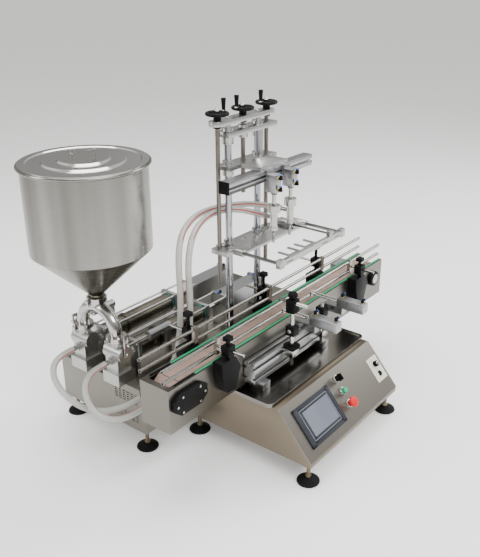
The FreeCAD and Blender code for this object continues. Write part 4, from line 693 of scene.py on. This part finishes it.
motor.feed(Base_Color=motor.mix(motor.noise(0.02), (0.17, 0.18, 0.19), (0.25, 0.26, 0.27)))
motor.bump(motor.noise(0.002), 0.0002, 0.3)
finish_node(motor.material, "belt_gearmotor")

TOWARDS = {"-y": Matrix.Rotation(math.pi / 2, 4, "X"), "-x": Matrix.Rotation(-math.pi / 2, 4, "Y"),
           "+x": Matrix.Rotation(math.pi / 2, 4, "Y"), "+z": Matrix()}


def cap_screws(name, spots, towards, head=0.006, tall=0.005):
    """Bright socket-head screws standing on a face."""
    profile = [(0, tall * 0.35), (head * 0.5, tall * 0.35), (head * 0.5, tall), (head * 0.86, tall),
               (head, tall * 0.84), (head, -0.001), (0, -0.001)]
    heads = [turned_mesh("head", profile, at(*spot), TOWARDS[towards], 18) for spot in spots]
    shown(name, joined(name, heads), bright.material, "root", smooth=30)


COVER_FACE_Y, IDLER_X, DRIVE_X, SHAFT_Z = -77, -550, 617, 369
cover_spots = [(IDLER_X + x, COVER_FACE_Y, SHAFT_Z + z)
               for x, z in ((-62, 0), (62, 0), (-40, 27), (40, 27), (-40, -27), (40, -27))]
cap_screws("cover_screws", cover_spots, "-y", head=0.0042, tall=0.0032)
DISC = [(0, -0.001), (0.0205, -0.001), (0.0205, 0.0015), (0.0190, 0.0026), (0.0120, 0.0026),
        (0.0112, 0.0016), (0, 0.0016)]
disc = turned_mesh("disc", DISC, at(DRIVE_X, COVER_FACE_Y, SHAFT_Z), TOWARDS["-y"], 40)
shown("drive_disc", disc, bright.material, "root", smooth=30)

# Guide rails: thin stainless tube, open at the ends, pushed through holders on cross rods. Black
# moulded brackets bolted to the frame clamp the rods under star knobs.
rail_steel = brushed_steel("rail_steel", (0.33, 0.315, 0.29), grain=(1, 12, 12), rough=0.24)
finish_node(rail_steel, "guide_rails_front", "guide_rails_rear")
finish_node(black, "guide_brackets")
eased("guide_brackets")

# Slotted beam: a clear-anodised aluminium profile with T-slots, sawn to length and screwed to two
# cross bars on the tray.
anodised = brushed_steel("anodised_aluminium", (0.36, 0.365, 0.37), grain=(1, 18, 18), rough=0.30)
finish_node(anodised, "beam_extrusion")
eased("beam_extrusion")

# Stop stand: bright posts on the beam, with a cross bar and a top rod for the stop cylinders. Black
# moulded cross clamps hold them, with a star knob on the post and a flange above the beam.
finish_node(bright.material, "stop_stand", "stop_rod_left", "stop_rod_right")
eased("stop_stand")
POST_X, POST_Y, KNOB_Z, FLANGE_Z = -90, -135, 566, 371
LOBE_RING = 10
LOBE = [(0, 0), (0.0065, 0), (0.0072, 0.001), (0.0072, 0.012), (0.0062, 0.0135), (0, 0.0135)]
HUB = [(0, -0.0095), (0.008, -0.0095), (0.008, 0.001), (0.012, 0.002), (0.012, 0.0125), (0.009, 0.0145),
       (0, 0.0145)]
FLANGE = [(0.0085, 0), (0.0290, 0), (0.0300, 0.001), (0.0300, 0.0055), (0.0285, 0.0065), (0.0150, 0.0075),
          (0.0140, 0.0130), (0.0085, 0.0130), (0.0085, 0)]
clamps = [block_mesh("clamp", at(x, -152.6, low), at(x + 35.2, -117.4, high), 0.002)
          for x, low, high in ((-107.6, 507.4, 556.6), (-107.6, 419.4, 454.6), (84.4, 419.4, 454.6))]
for turn in range(5):
    lean = math.radians(72 * turn)
    spot = at(POST_X + LOBE_RING * math.cos(lean), POST_Y + LOBE_RING * math.sin(lean), KNOB_Z)
    clamps.append(turned_mesh("lobe", LOBE, spot, sides=20))
clamps.append(turned_mesh("hub", HUB, at(POST_X, POST_Y, KNOB_Z), sides=28))
clamps.append(turned_mesh("flange", FLANGE, at(POST_X, POST_Y, FLANGE_Z), sides=40))
shown("stand_clamps", joined("stand_clamps", clamps), black, "root", smooth=30)

# Stop cylinders: two compact twin-rod air cylinders with anodised extruded bodies, bolted under the
# stand's rods. Fine ribs run along the tops and sides of the bodies.
finish_node(anodised, "stop_cylinders")
eased("stop_cylinders")
BODY_NEAR, BODY_FAR, BODY_Z = -285, -179, 470
RIB_STEP, RIB_HALF = 4.6, 0.9
for name, x in (("left", -31), ("right", 150)):
    ribs = []
    for step in range(-3, 4):
        offset = step * RIB_STEP
        ribs.append(block_mesh("rib", at(x + offset - RIB_HALF, BODY_NEAR, BODY_Z + 17.6),
                               at(x + offset + RIB_HALF, BODY_FAR, BODY_Z + 19.0), 0.0004, 1))
        for side in (-1, 1):
            inner, outer = sorted((x + side * 17.6, x + side * 19.0))
            ribs.append(block_mesh("rib", at(inner, BODY_NEAR, BODY_Z + offset - RIB_HALF),
                                   at(outer, BODY_FAR, BODY_Z + offset + RIB_HALF), 0.0004, 1))
    shown("stop_ribs_" + name, joined("stop_ribs_" + name, ribs), anodised, "root")

# Tower: two ground and hard-chromed shafts in a milled aluminium base with sockets, bolted through
# the tray, under a top plate with two large cap screws.
TOWER_Y, TOP_LOW, TOP_HIGH = 139, 1125, 1141
chromed = Paint("ground_shaft", (0.36, 0.37, 0.40), Metallic=1.0, Roughness=0.14)
fine = chromed.noise(0.02, (1, 1, 40), detail=2)
chromed.feed(Base_Color=chromed.mix(fine, (0.31, 0.32, 0.35), (0.42, 0.43, 0.46)),
             Roughness=0.10 + fine * 0.08)
finish_node(chromed.material, "tower_shafts")
milled = brushed_steel("milled_aluminium", (0.42, 0.42, 0.408), grain=(2, 30, 2), rough=0.30)
finish_node(milled, "tower_plates")
eased("tower_plates")
cap_screws("top_plate_screws", [(x, TOWER_Y, TOP_HIGH) for x in (-97, 67)], "+z",
           head=0.0075, tall=0.006)

# Lead screws: each is rolled from steel with a trapezoidal thread of 4 mm pitch. It hangs in the top
# plate and turns in a black collar under it.
screw_steel = brushed_steel("screw_steel", (0.20, 0.18, 0.155), grain=(1, 1, 20), rough=0.30)
finish_node(screw_steel, "lead_screw_left", "lead_screw_middle", "lead_screw_right")
PITCH, THREAD_STEPS = 0.004, 18
SCREWS = {"left": (-149, 560), "middle": (-15, 868), "right": (119, 560)}
THREAD = [(0.0072, 0), (0.0080, 0.0008), (0.0080, 0.0019), (0.0072, 0.0027)]
COLLAR_RING = [(0.0078, -0.0086), (0.0133, -0.0086), (0.0138, -0.0080), (0.0138, -0.0010), (0.0132, -0.0004),
               (0.0078, -0.0004), (0.0078, -0.0086)]
for name, (x, low) in SCREWS.items():
    turns = int((TOP_LOW - 10 - low) / 1000 / PITCH) - 1
    shape = bmesh.new()
    ridge = [shape.verts.new((r, 0, h)) for r, h in THREAD]
    face = shape.faces.new(ridge)
    bmesh.ops.spin(shape, geom=[face, *face.edges, *ridge], cent=(0, 0, 0), axis=(0, 0, 1),
                   dvec=(0, 0, PITCH / THREAD_STEPS), angle=-2 * math.pi, steps=THREAD_STEPS)
    coil = shape.verts[:] + shape.edges[:] + shape.faces[:]
    for step in range(1, turns):
        copied = bmesh.ops.duplicate(shape, geom=coil)["geom"]
        bmesh.ops.translate(shape, vec=(0, 0, PITCH * step),
                            verts=[v for v in copied if isinstance(v, bmesh.types.BMVert)])
    bmesh.ops.recalc_face_normals(shape, faces=shape.faces)
    bmesh.ops.translate(shape, vec=at(x, TOWER_Y, low + 2), verts=shape.verts)
    mesh = bpy.data.meshes.new("thread_" + name)
    shape.to_mesh(mesh)
    shape.free()
    shown("thread_" + name, mesh, screw_steel, name + "_wheel")
    collar = turned_mesh("collar", COLLAR_RING, at(x, TOWER_Y, TOP_LOW))
    shown("screw_collar_" + name, collar, black, name + "_wheel")

# Handwheels: black moulded wheels pinned to the screws, each with a chromed acorn nut on the spindle
# and a steel ring at the foot of its grip.
finish_node(black, "handwheel_left", "handwheel_middle", "handwheel_right")
NUT_Z, RIM_Z, GRIP_RING = 1169.3, 1168, 33
NUT = [(0, 0), (0.0098, 0), (0.0102, 0.001), (0.0102, 0.0055), (0.0090, 0.0066), (0.0078, 0.0068),
       (0.0072, 0.0100), (0.0050, 0.0128), (0.0020, 0.0142), (0, 0.0144)]
GRIP_FOOT = [(0, 0), (0.0070, 0), (0.0076, 0.0008), (0.0076, 0.0032), (0.0068, 0.0040), (0, 0.0040)]
for name, side in (("left", 1), ("middle", -1), ("right", -1)):
    x = SCREWS[name][0]
    nut = turned_mesh("nut", NUT, at(x, TOWER_Y, NUT_Z), sides=24)
    foot = turned_mesh("foot", GRIP_FOOT, at(x + side * GRIP_RING, TOWER_Y, RIM_Z), sides=24)
    shown("wheel_nut_" + name, joined("wheel_nut_" + name, [nut, foot]), bright.material, name + "_wheel",
          smooth=30)

# Bridge and nozzle carriage: milled plates that slide on the shafts, with the lift cylinder between
# them. The carriage carries the slotted nozzle bar, which a black plug closes at its left end, the two
# nozzle cylinders and the polished nozzles.
finish_node(milled, "bridge_plate", "nozzle_carriage")
finish_node(anodised, "lift_cylinder", "nozzle_bar", "nozzle_cylinders")
eased("bridge_plate", "nozzle_carriage", "nozzle_cylinders", "nozzle_bar")
finish_node(bright.material, "nozzle_bodies", "nozzle_plungers")
end_cap = block_mesh("bar_end_cap", at(-235.6, 24.4, 929.4), at(-229.6, 65.6, 970.6), 0.0008)
shown("bar_end_cap", end_cap, black, "carriage")

# Bottle-neck locator: a milled plate on the shafts, and a slide on two rods whose slotted bar carries
# the forks. The forks are laser-cut and bolted in the bar's slot.
finish_node(milled, "locator_plate", "locator_slide")
eased("locator_plate", "locator_slide")

# Hopper: a spun stainless drum and cone with a rolled rim, satin outside, with the cone seam-welded on.
# Its colour carries painted reflections in soft upright bands, and the cone is painted darker than the
# drum as painted shade. A bright pressed lid with a strap handle lies on the rim.
CONE_TOP = 0.740
hopper_paint = Paint("hopper_steel", (0.36, 0.34, 0.30), Metallic=1.0, Roughness=0.26)
# Soft upright bands of light and dark for the base colour: painted reflections round the hopper.
painted_reflection_bands = hopper_paint.noise(0.13, (1, 1, 0.03), detail=2, rough=0.45)
scratches = hopper_paint.noise(0.05, (1, 1, 34), detail=4, rough=0.7)
depth = hopper_paint.node("ShaderNodeMapRange", {0: painted_reflection_bands, 1: 0.36, 2: 0.64, 3: 0.0, 4: 1.0})
height = hopper_paint.node("ShaderNodeSeparateXYZ", {0: hopper_paint.place()}, out=2)
# The drum's colour runs from dark to light along the painted reflection bands, with real scratches mixed in.
drum_painted_reflections = hopper_paint.mix((depth * 0.8 + scratches * 0.25).clamped(), (0.15, 0.142, 0.125),
                        (0.40, 0.39, 0.365))
# The cone is given a much darker colour than the drum of the same sheet: painted shade.
cone_painted_shade = hopper_paint.mix((depth * 0.7 + scratches * 0.3).clamped(), (0.075, 0.068, 0.052),
                        (0.21, 0.195, 0.16))
hopper_paint.feed(Base_Color=hopper_paint.mix(height > CONE_TOP, cone_painted_shade, drum_painted_reflections),
                  Roughness=0.20 + scratches * 0.12)
hopper_steel = hopper_paint.bump(scratches, 0.00003, 0.3)
finish_node(hopper_steel, "hopper")
lid_steel = brushed_steel("lid_steel", (0.70, 0.69, 0.665), grain=(6, 6, 6), rough=0.13, spread=0.08)
finish_node(lid_steel, "hopper_lid")

# Manifold and valves: polished stainless pipe bent to both sides and held by hinged clamps, over two
# cast valve bodies on foot blocks. Levers on the valves' stems are joined by the actuator's rods.
finish_node(bright.material, "hopper_manifold", "pipe_clamps", "valve_lever_front", "valve_lever_rear",
            "valve_yokes")
finish_node(milled, "valve_bodies")

# Product cylinders: honed stainless barrels drawn between milled end plates by tie rods, with a dark
# green seal at each end and socket-head screws at the plates' corners. Air cylinders drive the
# pistons and the valves.
# The barrels take the hopper's finish: they lie below the cone's top, so they carry its darker painted shade
# and its painted reflection bands.
finish_node(hopper_steel, "product_cylinders")
finish_node(bright.material, "piston_front", "piston_rear")
finish_node(anodised, "air_cylinders")
finish_node(milled, "cylinder_plates")
eased("cylinder_plates")
HEAD_YS, HEAD_Z, CORNER = (329, 499), 350, 33
PLATE_CORNERS = [(y + dy, HEAD_Z + dz) for y in HEAD_YS for dy in (-CORNER, CORNER)
                 for dz in (-CORNER, CORNER)]
for name, x, towards in (("rear_end", -40, "+x"), ("front_end", -425, "-x"), ("air_end", 60, "-x")):
    cap_screws(name + "_screws", [(x, y, z) for y, z in PLATE_CORNERS], towards)
seal = Paint("seal_green", (0.01, 0.10, 0.08), Roughness=0.45)
seal.feed(Base_Color=seal.mix(seal.noise(0.01), (0.008, 0.08, 0.06), (0.015, 0.14, 0.11)))
SEAL = [(0.0345, -0.003), (0.0362, -0.003), (0.0366, 0), (0.0362, 0.003), (0.0345, 0.003), (0.0345, -0.003)]
seals = [turned_mesh("seal", SEAL, at(x, y, HEAD_Z), "x", 64) for y in HEAD_YS for x in (-406, -60)]
shown("barrel_seals", joined("barrel_seals", seals), seal.material, "root")

# Air fittings: black moulded push-in elbows with a blue release ring, screwed by a brass hexagon into
# the ports of the nozzle, stop and drive cylinders.
blue = Paint("release_ring", (0.03, 0.12, 0.45), Roughness=0.35)
blue.feed(Base_Color=blue.mix(blue.noise(0.004), (0.02, 0.10, 0.40), (0.05, 0.16, 0.52)))
brass = Paint("fitting_brass", (0.66, 0.50, 0.22), Metallic=1.0, Roughness=0.28)
brass.feed(Base_Color=brass.mix(brass.noise(0.006), (0.58, 0.43, 0.18), (0.72, 0.56, 0.27)))
HEXAGON = [(0, -0.001), (0.0066, -0.001), (0.0066, 0.004), (0, 0.004)]
ELBOW = [(0, 0.003), (0.0052, 0.003), (0.0056, 0.005), (0.0056, 0.0135), (0.0046, 0.0155), (0, 0.0160)]
ELBOW_OUT = 0.0105
ARM = [(0, 0), (0.0050, 0), (0.0054, 0.001), (0.0054, 0.0120), (0, 0.0120)]
RING = [(0, 0.0115), (0.0050, 0.0115), (0.0058, 0.0125), (0.0058, 0.0142), (0.0048, 0.0150), (0, 0.0150)]
FITTINGS = (("nozzle", [(x, -17, z) for x in (-20, 78) for z in (905, 946)], "-y", "+z", "carriage"),
            ("stop", [(x, y, 488) for x in (-31, 150) for y in (-274, -190)], "+z", "+x", "root"),
            ("air", [(x, y, 384) for x in (72, 298) for y in HEAD_YS], "+z", "-x", "root"))
for name, spots, towards, lift, body in FITTINGS:
    turn, side = TOWARDS[towards], TOWARDS[lift]
    bodies, rings, hexagons = [], [], []
    for seat in [at(*spot) for spot in spots]:
        corner = seat + turn @ Vector((0, 0, 1)) * ELBOW_OUT
        hexagons.append(turned_mesh("hex", HEXAGON, seat, turn, 6))
        bodies.append(turned_mesh("elbow", ELBOW, seat, turn, 20))
        bodies.append(turned_mesh("arm", ARM, corner, side, 20))
        rings.append(turned_mesh("ring", RING, corner, side, 20))
    title = name + "_fittings_"
    shown(title + "bodies", joined(title + "bodies", bodies), black, body)
    shown(title + "rings", joined(title + "rings", rings), blue.material, body)
    shown(title + "threads", joined(title + "threads", hexagons), brass.material, body,
          smooth=20)

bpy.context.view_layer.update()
